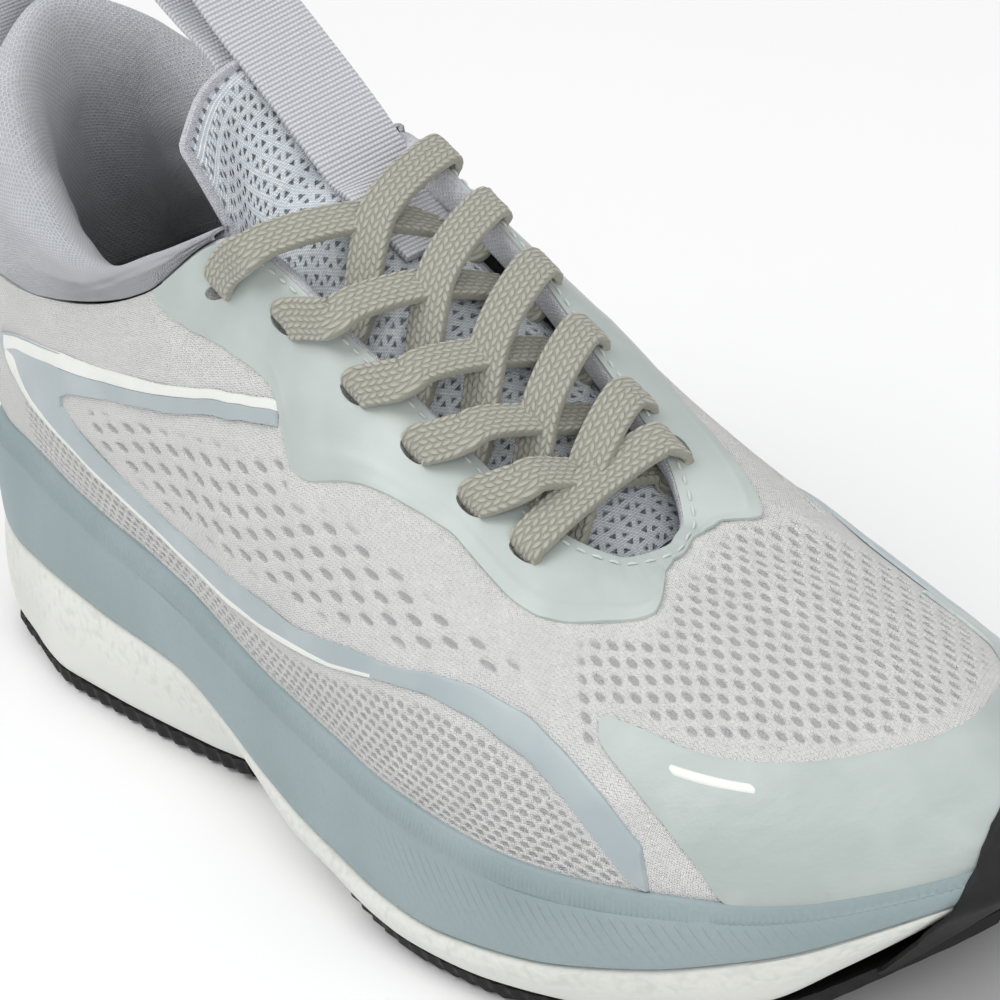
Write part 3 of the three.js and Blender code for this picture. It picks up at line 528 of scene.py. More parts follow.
def film_material(name, colour, light, wrinkles):
    look = Look(name, colour, 0.34, coat=0.12, specular=0.45)
    look.blend(light, ramp(look.noise(16.0), 0.42, 0.7) * 0.5)
    look.rough(look.noise(6.0) * 0.16 + 0.3)
    look.bump(look.noise(22.0, 1.0), 0.5)
    if wrinkles:
        look.bump(look.noise(3.2, 3.0, (1, 0.35, 1.6)), wrinkles)
    look.bump(look.noise(0.6), 0.02)
    return look.done()


def webbing_material(name, colour, dark):
    look = Look(name, colour, 0.85, sheen=0.2, specular=0.35)
    ribs = size(sine(look.v * (math.pi / 0.95)))
    strands = size(sine(look.u * (math.pi / 0.8) + floor(look.v / 0.95) * (math.pi / 2)))
    look.blend(dark, (1 - ribs) * 0.5)
    look.blend(dark, (1 - strands) * 0.22)
    look.bump(ribs, 0.3).bump(strands, 0.12)
    return look.done()


def lace_material():
    look = Look("lace_braid", "b0afa3", 0.88, sheen=0.25, specular=0.3)
    ridges = braid(look.u, look.v)
    look.blend("7f7e73", (1 - ridges) * 0.5)
    # painted highlight: lighter spots on the ridges of the braid
    look.blend("bab9ad", ramp(look.noise(1.2), 0.5, 0.7) * ridges * 0.4)
    look.bump(ridges, 0.25).bump(look.noise(0.35), 0.1)
    return look.done()


def foam_material():
    look = Look("white_foam", "e4e5df", 0.62, specular=0.4)
    look.blend("d3d5cf", ramp(look.noise(30.0), 0.4, 0.7) * 0.4)
    pebbles = look.cells(1.7, 0.85)
    where = look.mask("pebbled")
    look.blend("bfc1ba", ramp(pebbles, 0.45, 0.7) * where * 0.35)
    look.bump((1 - pebbles) * where, 0.35).bump(look.noise(0.5), 0.04)
    return look.done()


def carrier_material():
    look = Look("blue_foam", "90a0a3", 0.55, specular=0.42)
    look.blend("a3b1b5", ramp(look.noise(35.0), 0.4, 0.65) * 0.45)
    look.blend("8797a0", ramp(look.noise(1.1), 0.5, 0.75) * 0.3)
    lines = ramp(sine((look.u + look.v * 0.7) * (2 * math.pi / 2.4)), 0.75, 1.0)
    look.bump(lines * look.mask("ruled"), 0.22)
    look.bump(look.noise(0.7), 0.06)
    return look.done()


def rubber_material():
    look = Look("black_rubber", "1c1c1c", 0.62, specular=0.3)
    look.blend("2b2b2b", ramp(look.noise(10.0), 0.45, 0.7) * 0.5)
    look.bump(look.noise(0.6), 0.06)
    return look.done()


def plain_material(name, colour, roughness, grain_mm, depth_mm, light):
    look = Look(name, colour, roughness)
    look.blend(light, ramp(look.noise(grain_mm * 8), 0.4, 0.7) * 0.5)
    look.bump(look.noise(grain_mm), depth_mm)
    return look.done()


KNIT = knit_material()
COLLAR_MESH = mesh_material("collar_mesh", "d6d8dd", "a2a5ab", 1.25)
# The lining's grey is its own colour darkened with painted shade for the inside of the shoe.
LINING_MESH = mesh_material("lining_mesh", "7d8188", "50545b", 1.6, 0.7)
TONGUE_MESH = tongue_material()
FILM = film_material("mint_film", "b4bdba", "cbd2cf", 0.0)
TOE_FILM = film_material("mint_toe_film", "aeb8b5", "c3ccc9", 0.22)
STRIPE = film_material("stripe_film", "a7b2b6", "bac4c6", 0.0)
TRIM = film_material("white_trim", "e6e8e3", "f2f3ef", 0.0)
WEBBING = webbing_material("webbing", "d8dadf", "aeb0b7")
BINDING = mesh_material("binding", "e2e3ea", "b9bac4", 0.9)
LACE = lace_material()
FOAM = foam_material()
CARRIER = carrier_material()
RUBBER = rubber_material()
STITCH = plain_material("stitch_thread", "cfd2cf", 0.7, 0.3, 0.05, "e3e5e2")
BOARD = plain_material("board", "c9c7c0", 0.95, 0.8, 0.1, "d8d6cf")


def ride(piece, body):
    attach(piece, body)


def bend_with_toe(piece):
    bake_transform(piece)


def bend_with_tongue(piece):
    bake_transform(piece)


# ---- outlines on the upper ----------------------------------------------------------------
LATERAL_EYELETS = [(s, 0.85) for s in (4.82, 5.42, 6.02, 6.62, 7.22, 7.82)]
MEDIAL_EYELETS = [(AROUND - s, 0.925) for s in (5.26, 5.68, 6.18, 6.76, 7.4, 7.95)]
EYELETS = LATERAL_EYELETS + MEDIAL_EYELETS


film_low_lateral = smooth_curve([
    (4.04, 1.0), (4.09, 0.96), (4.28, 0.856), (4.52, 0.775), (4.75, 0.73), (5.0, 0.7), (5.27, 0.695), (5.4, 0.685),
    (5.47, 0.629), (5.52, 0.58), (5.6, 0.562), (5.75, 0.577), (5.99, 0.631), (6.24, 0.675), (6.5, 0.705),
    (6.81, 0.73), (7.14, 0.75), (7.48, 0.73), (7.8, 0.71), (8.08, 0.71), (8.41, 0.73), (8.87, 0.77),
    (9.3, 0.795), (9.67, 0.82), (9.85, 0.85), (10.1, 0.9), (10.33, 0.94), (10.75, 0.965),
], 0.06)
film_low_medial = smooth_curve([
    (4.04, 1.0), (4.12, 0.93), (4.51, 0.75), (4.92, 0.68), (5.36, 0.68), (5.45, 0.6), (5.54, 0.56), (5.68, 0.56),
    (6.01, 0.64), (6.27, 0.68), (6.49, 0.71), (6.82, 0.73), (7.14, 0.75), (7.6, 0.75), (8.33, 0.765), (8.6, 0.78),
    (8.72, 0.81), (8.94, 0.9), (9.3, 0.94), (9.79, 0.96), (10.5, 0.965),
], 0.06)


def film_low(s):
    return np.where(s <= 11, film_low_lateral(s), film_low_medial(mirrored(s)))


toe_low = smooth_curve([
    (8.73, 0.5), (8.77, 0.45), (8.98, 0.37), (9.21, 0.26), (9.37, 0.15), (9.47, 0.03), (9.52, 0.01),
], 0.03)
toe_high = smooth_curve([
    (8.73, 0.5), (8.78, 0.525), (8.85, 0.53), (9.21, 0.51), (9.51, 0.48), (9.79, 0.46), (10.12, 0.44), (10.4, 0.43),
    (11.1, 0.42), (11.66, 0.39), (12.29, 0.35), (12.84, 0.34), (13.05, 0.38), (13.2, 0.43), (13.3, 0.45),
], 0.04)
arm_outer = smooth_curve([
    (1.71, 0.62), (1.9, 0.42), (2.3, 0.34), (2.88, 0.29), (3.48, 0.21), (4.05, 0.155), (4.78, 0.15), (5.46, 0.18),
    (6.09, 0.24), (6.71, 0.32), (7.18, 0.37), (7.67, 0.39), (8.14, 0.36), (8.47, 0.28), (8.73, 0.16), (8.93, 0.02),
], 0.08)
arm_inner = smooth_curve([
    (2.7, 0.51), (2.93, 0.42), (3.39, 0.33), (3.95, 0.25), (4.46, 0.23), (4.98, 0.23), (5.62, 0.25), (6.24, 0.32),
    (6.88, 0.38), (7.15, 0.42), (7.63, 0.47), (8.12, 0.47), (8.47, 0.41), (8.77, 0.32), (9.01, 0.2), (9.22, 0.03),
], 0.08)
upper_arm_outer = smooth_curve([
    (1.6, 0.64), (1.76, 0.67), (2.05, 0.715), (2.3, 0.735), (2.77, 0.745), (3.25, 0.728), (3.69, 0.71), (4.1, 0.68),
    (4.52, 0.638), (4.92, 0.622), (5.18, 0.641), (5.43, 0.68),
], 0.06)
upper_trim_low = smooth_curve([
    (1.75, 0.55), (2.03, 0.625), (2.59, 0.663), (3.38, 0.67), (4.09, 0.647), (4.51, 0.612), (4.92, 0.6), (5.18, 0.618),
    (5.44, 0.656),
], 0.06)
upper_arm_low = smooth_curve([
    (2.66, 0.505), (2.74, 0.52), (2.8, 0.55), (2.92, 0.575), (3.4, 0.608), (3.94, 0.605), (4.44, 0.58), (4.91, 0.567),
    (5.21, 0.593), (5.47, 0.63),
], 0.05)


def zone(value, low, high, soft=0.05):
    """1 between low and high, falling to 0 over soft on each side."""
    return np.clip((value - low) / soft, 0, 1) * np.clip((high - value) / soft, 0, 1)


def knit_masks(s, h):
    """Where the knit is perforated, and where it is an open net."""
    side = np.where(s <= 11, s, mirrored(s))
    panel = zone(h, arm_inner(side) + 0.04, np.minimum(upper_arm_low(side), film_low_lateral(side)) - 0.05, 0.02)
    panel = panel * zone(side, 3.1, 8.0, 0.05)
    low = np.where((s > 8.73) & (s < 13.3), toe_high(s) + 0.03, 0.44)
    vamp = zone(h, low, film_low(s) - 0.035, 0.02) * zone(s, 8.5, 13.6, 0.1)
    net = zone(h, 0.02, arm_outer(side) - 0.02, 0.02) * zone(side, 1.95, 8.9, 0.1)
    return panel, vamp, net


def eyelet_depth(s, h):
    """1 at the middle of an eyelet and 0 outside it."""
    depth = np.zeros(np.shape(s))
    for at, height in EYELETS:
        near = np.abs(s - at) < 0.4
        d = np.linalg.norm(face(s[near], h[near]) - face(at, height), axis=-1)
        depth[near] = np.maximum(depth[near], np.clip(1.25 - d / 3.0, 0, 1))
    return depth


# ---- knit upper and lining ----------------------------------------------------------------
def knit_piece(name, start, end, columns, rows=112):
    s, h = np.meshgrid(np.linspace(start, end, columns + 1), eased(rows, 75), indexing="ij")
    u, v = upper_uv(s, h)
    perforated, vamp, netted = knit_masks(s, h)
    hole = eyelet_depth(s, h)
    offset = waves(u, v, 38.0) * 0.25
    if name == "knit_vamp":
        u, v, z = np.moveaxis(face(s, h), -1, 0)
        v = v - np.sign(v) * np.minimum(z - 45, 0)
        perforated = perforated * 0
    else:
        vamp = vamp * 0
    offset = offset - perforations(u, v) * perforated * 0.5 - vamp_holes(u, v) * vamp * 0.45
    offset = offset - honeycomb(u, v) * netted * 0.45 - hole * 2.4
    # The eyelet mask also carries painted shade into the knit's colour.
    masks = {"perforated": perforated, "vamp": vamp, "netted": netted, "eyelet": hole}
    uv = np.stack([u, v], axis=-1)
    return closed_sheet(name, on_upper(s, h, offset), on_upper(s, h, -1.2), uv, KNIT, masks=masks)


def upper_shell():
    lateral = knit_piece("knit_lateral", 0.0, 8.3, 460)
    vamp = knit_piece("knit_vamp", 8.3, 13.7, 320)
    medial = knit_piece("knit_medial", 13.7, 22.0, 460)
    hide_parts("knit_quarters", "knit_vamp_flex")
    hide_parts("knit_vamp_front")
    for piece in (lateral, vamp, medial):
        bend_with_toe(piece)
    s, h = np.meshgrid(np.linspace(0, AROUND, 361)[:-1], np.linspace(0, 0.985, 41), indexing="ij")
    uv = np.stack(upper_uv(s, h), axis=-1)
    lining = closed_sheet("lining", on_upper(s, h, -3.7), on_upper(s, h, -4.8), uv, LINING_MESH, step=1, ring=True)
    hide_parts("lining_quarters", "lining_vamp_flex", "lining_vamp_front")
    bend_with_toe(lining)


# ---- film overlays ------------------------------------------------------------------------
FILM_BASE = 0.05
FILM_THICKNESS = 0.65
EYELET_HALF_LENGTH = 3.5  # along the throat
EYELET_HALF_WIDTH = 1.5
EYELET_REACH = 7  # points nearer than this to an eyelet's middle belong to it
FAR_FROM_EYELETS = 9.0  # in eyelet radii, for points that belong to none


def film_piece(name, low, high, stations, rows, width, material, base=FILM_BASE, crease=0.0):
    t = eased(rows, width)
    s = np.repeat(stations[:, None], len(t), axis=1)
    h = across(low, high, stations, t)
    u, v = upper_uv(s, h)
    ends = rounded((stations - stations[0]) / (stations[-1] - stations[0]), (stations[-1] - stations[0]) * 28, 0.5)
    full = rounded(t, width, 0.5)[None, :] * ends[:, None]
    top = base + FILM_THICKNESS * full + waves(u, v, 17.0, 1.0) * 0.08
    top = top + crease * np.exp(-((t[None, :] - 0.16) * width / 0.9) ** 2) * (full > 0.9)
    uv = np.stack([u, v], axis=-1)
    return s, h, top, uv, (name, material, base)


def punched(spec):
    """The film with its eyelets cut through."""
    s, h, top, uv, (name, material, base) = spec
    rho = np.full(s.shape, FAR_FROM_EYELETS)
    local = np.zeros(s.shape + (2,))
    centre = np.zeros(s.shape, int) - 1
    frames = []
    for at, height in EYELETS:
        c = face(at, height)
        along = unit(face(at + 0.05, height) - face(at - 0.05, height))
        side = np.cross(face_normal(at, height), along)
        d = face(s, h) - c
        a, b = d @ along, d @ side
        r = np.sqrt((a / EYELET_HALF_LENGTH) ** 2 + (b / EYELET_HALF_WIDTH) ** 2)
        nearer = (r < rho) & (np.linalg.norm(d, axis=-1) < EYELET_REACH)
        rho = np.where(nearer, r, rho)
        local[nearer] = np.stack([a, b], axis=-1)[nearer]
        centre[nearer] = len(frames)
        frames.append((c, along, side))
    inside = rho < 1
    grown = np.zeros_like(inside)
    for di in (-1, 0, 1):
        for dj in (-1, 0, 1):
            grown |= np.roll(np.roll(~inside, di, 0), dj, 1)
    snap = inside & grown
    outer, inner = on_upper(s, h, top), on_upper(s, h, base)
    for k, (c, along, side) in enumerate(frames):
        pick = snap & (centre == k)
        move = local[pick] * (1 / np.maximum(rho[pick], 0.2) - 1)[:, None]
        shift = move[:, :1] * along + move[:, 1:] * side
        outer[pick] += shift
        inner[pick] += shift
    n = s.size
    ids = np.arange(n).reshape(s.shape)
    quads = grid_quads(ids, False)
    keep = ~inside.ravel()[quads].all(axis=1)
    quads = quads[keep]
    edges = {}
    for q in quads:
        for a, b in zip(q, np.roll(q, -1)):
            edges[(a, b)] = True
    faces = [list(q) for q in quads] + [[x + n for x in q[::-1]] for q in quads]
    faces += [[b, a, a + n, b + n] for a, b in edges if (b, a) not in edges]
    points = np.concatenate([outer.reshape(-1, 3), inner.reshape(-1, 3)])
    used = np.unique(np.array(faces).ravel())
    renumber = np.full(2 * n, -1)
    renumber[used] = np.arange(len(used))
    uvs = np.concatenate([uv.reshape(-1, 2)] * 2)
    return make_object(name, points[used], [renumber[f] for f in faces], uvs[used], material)


def plain(spec):
    """The film as it is, with no eyelets."""
    s, h, top, uv, (name, material, base) = spec
    return closed_sheet(name, on_upper(s, h, top), on_upper(s, h, base), uv, material)


def film_overlays():
    stations = np.linspace(4.1, 17.9, 601)
    eyestay = punched(film_piece(
        "eyestay_film", film_low, lambda s: s * 0 + 0.997, stations, 36, 22, FILM, crease=0.12))
    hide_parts("eyestay_overlay")
    bend_with_toe(eyestay)
    stations = np.linspace(8.74, 13.29, 281)
    toe = plain(film_piece("toe_film", toe_low, toe_high, stations, 60, 45, TOE_FILM, 0.12))
    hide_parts("toe_overlay")
    bend_with_toe(toe)


def arm_strip(name, low, high, start, end, columns, width, material, base):
    stations = np.linspace(start, end, columns + 1)
    piece = plain(film_piece(name, low, high, stations, 12, width, material, base))
    bend_with_toe(piece)
    return piece


def between(a, b, share):
    return lambda s: a(s) + (b(s) - a(s)) * share


def stripes():
    lower = arm_strip("stripe_lower_arm", arm_outer, arm_inner, 2.62, 9.0, 400, 8, STRIPE, 0.06)
    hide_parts("lateral_stripe_lower_arm", "lateral_stripe_front_arm")
    upper = arm_strip(
        "stripe_upper_arm", upper_arm_low, between(upper_trim_low, upper_arm_outer, 0.1), 2.7, 5.42, 240, 8, STRIPE,
        0.09)
    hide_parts("lateral_stripe_upper_arm")
    nose_low = smooth_curve([(1.66, 0.64), (1.8, 0.5), (1.9, 0.42), (2.3, 0.34), (2.8, 0.3)], 0.05)
    arm_strip("stripe_nose", nose_low, upper_arm_outer, 1.67, 2.76, 80, 22, STRIPE, 0.03)
    upper_trim = arm_strip(
        "stripe_upper_trim", upper_trim_low, upper_arm_outer, 1.78, 5.42, 240, 2.4, TRIM,
        0.16)
    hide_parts("lateral_stripe_upper_trim")
    lower_trim_high = smooth_curve([
        (1.78, 0.6), (2.0, 0.6), (2.07, 0.501), (2.24, 0.41), (2.55, 0.352), (3.03, 0.295), (3.51, 0.232),
        (4.06, 0.177),
        (4.6, 0.168), (5.2, 0.182), (6.09, 0.254), (6.7, 0.33)], 0.04)
    lower_trim = arm_strip(
        "stripe_lower_trim", arm_outer, lower_trim_high, 1.8, 6.6, 300, 1.6, TRIM, 0.2)
    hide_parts("lateral_stripe_lower_trim")
    medial = arm_strip(
        "stripe_medial", lambda s: arm_outer(mirrored(s)), lambda s: arm_inner(mirrored(s)), 13.0, 19.38, 400, 8,
        STRIPE, 0.06)
    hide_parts("medial_stripe")


# ---- sole ---------------------------------------------------------------------------------
foam_base = smooth_curve([
    (-150, 10), (-132, 5), (-112, 4), (-46, 4), (-14, 8), (14, 7.5), (40, 4), (88, 4), (118, 10), (136, 20),
    (152, 31)], 4)
foam_top = smooth_curve([
    (-150, 25), (-120, 23.5), (-48, 23.5), (-26, 20), (4, 13.5), (26, 11.5), (52, 11), (80, 14), (104, 18.5),
    (124, 24.5), (140, 30.5), (152, 34.5)], 4)
base_flare = smooth_curve([
    (-150, -2), (-130, 8), (-100, 10), (-60, 4), (-30, -2), (0, 4), (30, 5), (62, 3), (84, 0), (110, -2.5), (135, -6.5),
    (152, -9)], 4)
edge_flare = smooth_curve([(-150, 3), (-120, 7), (-60, 5), (-20, 4), (30, 5), (90, 4), (130, 3), (152, 1.5)], 4)


def from_bite(s, out, z):
    """A point out from the bite line at heights z, for arrays of stations."""
    b = face(s, 0)
    tangent = (face(s + 0.05, 0) - face(s - 0.05, 0)) * [1, 1, 0]
    outward = np.cross(unit(tangent), UP)
    p = b + outward * np.broadcast_to(out, np.shape(s))[..., None]
    p[..., 2] = z
    return p


def puck(name, s, rings, material, masks=None, fill=14):
    """A body from closed rings of points, low to high, with its two ends filled across the foot."""
    n = len(s)
    k = len(rings)
    points = [np.stack(rings, axis=1).reshape(-1, 3)]  # column-major: n columns of k points
    ids = np.arange(n * k).reshape(n, k)
    faces = [list(f) for f in grid_quads(ids, True)]
    u = lengths(rings[k // 2])
    rise = np.concatenate([[np.zeros(n)], np.cumsum(
        [np.linalg.norm(b - a, axis=1) for a, b in zip(rings, rings[1:])], axis=0)])
    uvs = [np.stack([np.repeat(u[:, None], k, 1), rise.T], axis=-1).reshape(-1, 2)]
    total = n * k
    half = n // 2
    for ring, up in ((0, False), (k - 1, True)):
        rows = [[ids[0, ring]]]
        for i in range(1, half):
            a, b = rings[ring][i], rings[ring][n - i]
            f = np.linspace(0, 1, fill + 1)[1:-1, None]
            inner = a + (b - a) * f
            points.append(inner)
            uvs.append(inner[:, :2])
            rows.append([ids[i, ring], *range(total, total + fill - 1), ids[n - i, ring]])
            total += fill - 1
        rows.append([ids[half, ring]])
        for a, b in zip(rows, rows[1:]):
            if len(a) == 1:
                strip = [[a[0], b[j], b[j + 1]] for j in range(fill)]
            elif len(b) == 1:
                strip = [[a[j], b[0], a[j + 1]] for j in range(fill)]
            else:
                strip = [[a[j], b[j], b[j + 1], a[j + 1]] for j in range(fill)]
            faces += strip if up else [q[::-1] for q in strip]
    extra = {}
    for key, values in (masks or {}).items():
        extra[key] = np.concatenate([values.ravel(), np.zeros(total - n * k)])
    return make_object(name, np.concatenate(points), faces, np.concatenate(uvs), material, extra)


def ring_stations(n):
    return np.linspace(0, AROUND, n + 1)[:-1]


def foam_midsole():
    s = ring_stations(1000)
    x = face(s, 0)[:, 0]
    base, top = foam_base(x), foam_top(x) - 0.1
    height = top - base
    q = np.concatenate([[0, 0.03, 0.08], np.linspace(0.15, 0.85, 12), [0.92, 0.97, 1]])
    rings = [from_bite(s, base_flare(x) - 6, base + 0.25), from_bite(s, base_flare(x) - 1.8, base)]
    pebbled = [s * 0, s * 0]
    for share in q:
        out = base_flare(x) * (1 - share) + edge_flare(x) * share + 4.8 * share * (1 - share)
        low = 1 - np.clip(share * height / 2.2, 0, 1)
        high = 1 - np.clip((1 - share) * height / 1.3, 0, 1)
        out = out - 1.4 * (1 - np.sqrt(1 - low**2)) - 1.0 * (1 - np.sqrt(1 - high**2))
        out = out + waves(x, base + height * share, 60.0) * 0.25
        rings.append(from_bite(s, out, base + height * share))
        pebbled.append(np.full(s.shape, np.clip((share - 0.35) / 0.3, 0, 1) * np.clip((0.99 - share) / 0.03, 0, 1)))
    rings.append(from_bite(s, edge_flare(x) - 3.0, top + 0.05))
    pebbled.append(s * 0)
    masks = {"pebbled": np.stack(pebbled, axis=1)}
    piece = puck("foam_midsole", s, rings, FOAM, masks)
    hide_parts("midsole_foam_rear", "midsole_foam_front")
    bend_with_toe(piece)


def carrier_midsole():
    s = ring_stations(2400)
    bite = face(s, 0)
    x, z = bite[:, 0], bite[:, 2]
    low = foam_top(x) + 0.1
    height = z - low
    ribbed = np.sin(np.arange(len(s)) * (2 * math.pi / 4))
    rings = [from_bite(s, edge_flare(x) - 3.0, low + 0.05)]
    ruled = [s * 0]
    for share in np.concatenate([[0, 0.03, 0.07], np.linspace(0.13, 0.76, 10)]):
        out = edge_flare(x) * (1 - share) ** 0.8 + 1.3 * share + 3.2 * share * (1 - share)
        start = 1 - np.clip(share * height / 1.2, 0, 1)
        out = out - 0.9 * (1 - np.sqrt(1 - start**2)) + waves(x, low + height * share, 55.0, 2.0) * 0.2
        rings.append(from_bite(s, out, low + height * share))
        ruled.append(zone(x, 20, 140, 30) * share * (share < 0.7))
    side = 1.3 * 0.8 + 3.2 * 0.16 + edge_flare(x) * 0.2**0.8
    rib = 0.16 * ribbed
    steps = [
        (-4.4, 0.1, 0.0), (-3.9, 0.0, 0.2), (-3.4, 0.1, 1.0), (-2.2, 0.05, 1.0), (-1.0, -0.15, 1.0), (-0.5, -0.4, 0.3)]
    for dz, out, ribs in steps:
        share = (dz + 4.4) / 4.4
        level = np.maximum(z + dz, low + height * 0.78)
        rings.append(from_bite(s, side * (1 - share) + 1.9 * share + out + rib * ribs, level))
        ruled.append(s * 0)
    for dz, out in ((0.3, 1.25), (0.8, 0.75), (0.9, 0.2), (0.2, -0.9), (-0.7, -2.4), (-6.0, -4.4)):
        level = z + np.maximum(dz, -0.72 * height) if dz < -1 else z + dz
        rings.append(from_bite(s, out, level))
        ruled.append(s * 0)
    piece = puck("carrier_midsole", s, rings, CARRIER, {"ruled": np.stack(ruled, axis=1)})
    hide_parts("midsole_carrier_rear", "midsole_carrier_front")
    bend_with_toe(piece)


def tread(x, y, pitch, depth):
    """Depth of the grooves between chevron lugs."""
    wave = x / pitch + np.abs(y) / (2.2 * pitch)
    across_grooves = np.clip((np.abs(wave - np.floor(wave) - 0.5) - 0.36) / 0.08, 0, 1)
    lengthwise = y / 13.0 + 0.5
    along_grooves = np.clip((np.abs(lengthwise - np.floor(lengthwise) - 0.5) - 0.42) / 0.05, 0, 1)
    return depth * np.maximum(across_grooves, along_grooves)


def rubber_slab(name, lines, node, blend):
    """A slab of tread between two lines of points on the sole, first and last across the foot."""
    first, last = lines
    rows = 60
    f = np.linspace(0, 1, rows + 1)[None, :, None]
    flat = first[:, None] * (1 - f) + last[:, None] * f
    x, y = flat[..., 0], flat[..., 1]
    base = foam_base(x)
    low = flat.copy()
    width = np.linalg.norm(last - first, axis=1)[:, None]
    margin = np.minimum(f[..., 0], 1 - f[..., 0]) * width
    shape = np.sqrt(1 - (1 - np.clip(margin / 1.4, 0, 1)) ** 2)
    thickness = 3.8 - 1.6 * np.clip((x - 98) / 34, 0, 1)
    low[..., 2] = base - 0.2 - thickness * (0.35 + 0.65 * shape) + tread(x, y, 9.0, 1.5) * (margin > 2)
    low[..., 2] = np.maximum(low[..., 2], 0.0)
    high = flat.copy()
    high[..., 2] = base - 0.15
    uv = np.stack([x, y], axis=-1)
    if np.cross(last[0] - first[0], first[1] - first[0])[2] > 0:
        low, high, uv = low[:, ::-1], high[:, ::-1], uv[:, ::-1]
    piece = closed_sheet(name, low, high, uv, RUBBER, step=4)
    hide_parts(*node)
    if blend:
        bend_with_toe(piece)
    else:
        ride(piece, "shoe")


def outsole():
    s = np.linspace(0.35, 4.3, 241)

    def edge(stations):
        return base_flare(face(stations, 0)[:, 0])

    scallop = 0.45 * np.sin(np.linspace(0, 2 * math.pi * 26, 241))
    for name, stations in (("lateral", s), ("medial", mirrored(s))):
        b = face(stations, 0)
        outer = from_bite(stations, edge(stations) - 0.2 + scallop, 0.0)
        inner = from_bite(stations, -np.abs(b[:, 1]) + 5.5, 0.0)
        rubber_slab("outsole_heel_pad_" + name, (outer, inner), ["outsole_heel_" + name], False)
    s = np.linspace(6.1, 10.6, 281)
    wave = 0.3 * np.sin(np.linspace(0, 2 * math.pi * 30, 281))
    first = from_bite(s, edge(s) - 0.2 + wave, 0.0)
    last = from_bite(mirrored(s), edge(mirrored(s)) - 0.2 + wave, 0.0)
    rubber_slab("outsole_forefoot_pad", (first, last), ["outsole_forefoot_rear", "outsole_forefoot_front"], True)


TOE_REACH = [(0, 1.21), (0.08, 1.2), (0.18, 1.16), (0.27, 1.1), (0.34, 1.02), (0.45, 0.62), (0.6, 0.25), (0.8, 0.06)]


def toe_bumper():
    """Rubber that wraps the tip: up the sole's side for heights to 1, then over the film."""
    s = np.linspace(10.2, 11.8, 161)
    t = np.linspace(0, 1, 61)
    x, z = face(s, 0)[:, 0], face(s, 0)[:, 2]
    flare = [base_flare(x) + 0.2, 0.5 * (base_flare(x) + edge_flare(x)) + 1.2, edge_flare(x) + 0.3, 1.6 + 0 * x]
    level = [foam_base(x) - 3.4, 0.5 * (foam_base(x) + foam_top(x)) - 1.0, foam_top(x), z + 0.3]
    controls = np.stack([np.stack([a, b], axis=-1) for a, b in zip(flare, level)])
    reach = np.interp(np.abs(s - 11), *np.array(TOE_REACH).T)
    share = t[:, None] * reach[None, :]
    side = np.stack([
        spline(controls[:, i], np.minimum(share[:, i], 1) * 3, closed=False) for i in range(len(s))], axis=1)
    full = rounded(t, 26, 1.3)[:, None] * rounded((s - s[0]) / (s[-1] - s[0]), 90, 5.0)[None, :]
    grids = []
    for lift in (0.5 + 1.3 * full, 0.1 + 0 * full):
        rows = []
        for j in range(len(t)):
            low = from_bite(s, side[j, :, 0] + lift[j], side[j, :, 1])
            over = np.maximum(share[j] - 1, 0)
            high = on_upper(s, over, 0.9 + 1.2 * np.exp(-over / 0.05) + lift[j])
            past = np.clip((share[j] - 0.94) / 0.12, 0, 1)[:, None]
            rows.append(low * (1 - past) + high * past)
        grids.append(np.stack(rows, axis=1))
    uv = np.stack(np.meshgrid(s * 25, t * 26, indexing="ij"), axis=-1)
    piece = closed_sheet("toe_bumper_rubber", grids[0], grids[1], uv, RUBBER)
    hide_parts("toe_bumper")
    bend_with_toe(piece)


def sockliner():
    s = ring_stations(320)
    bed = face(s, 0)[:, 2] - 8
    rings = [from_bite(s, out, bed + dz) for out, dz in (
        (-6.4, 3.4), (-5.9, 3.8), (-5.7, 8.5), (-6.3, 9.3), (-7.2, 9.0), (-9.5, 7.2), (-13, 6.7))]
    piece = puck("insole", s, rings, LINING_MESH, fill=10)
    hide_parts("sockliner_rear", "sockliner_front")
    bend_with_toe(piece)


# ---- collar -------------------------------------------------------------------------------
# Crest of the padded roll and its thickness, from the medial throat round the heel.
COLLAR = [
    (-38, 20, 117, 4), (-56, 27, 106, 8), (-80, 28, 97, 9), (-104, 25, 105, 14), (-123, 16, 121, 15),
    (-131, 0, 129, 13),
    (-123, -16, 120, 15), (-104, -25, 104, 14), (-80, -28, 95, 9), (-56, -26, 103, 8), (-38, -18, 111, 4),
]
ROLL = [
    (-0.06, -0.8), (0.03, -1.02), (0.3, -1.17), (0.65, -1.06), (0.9, -0.68), (1, 0), (0.9, 0.66), (0.62, 1.1),
    (0.28, 1.16), (0, 1.04), (-0.3, 0.8),
]
COLLAR_SPAN = 4.78


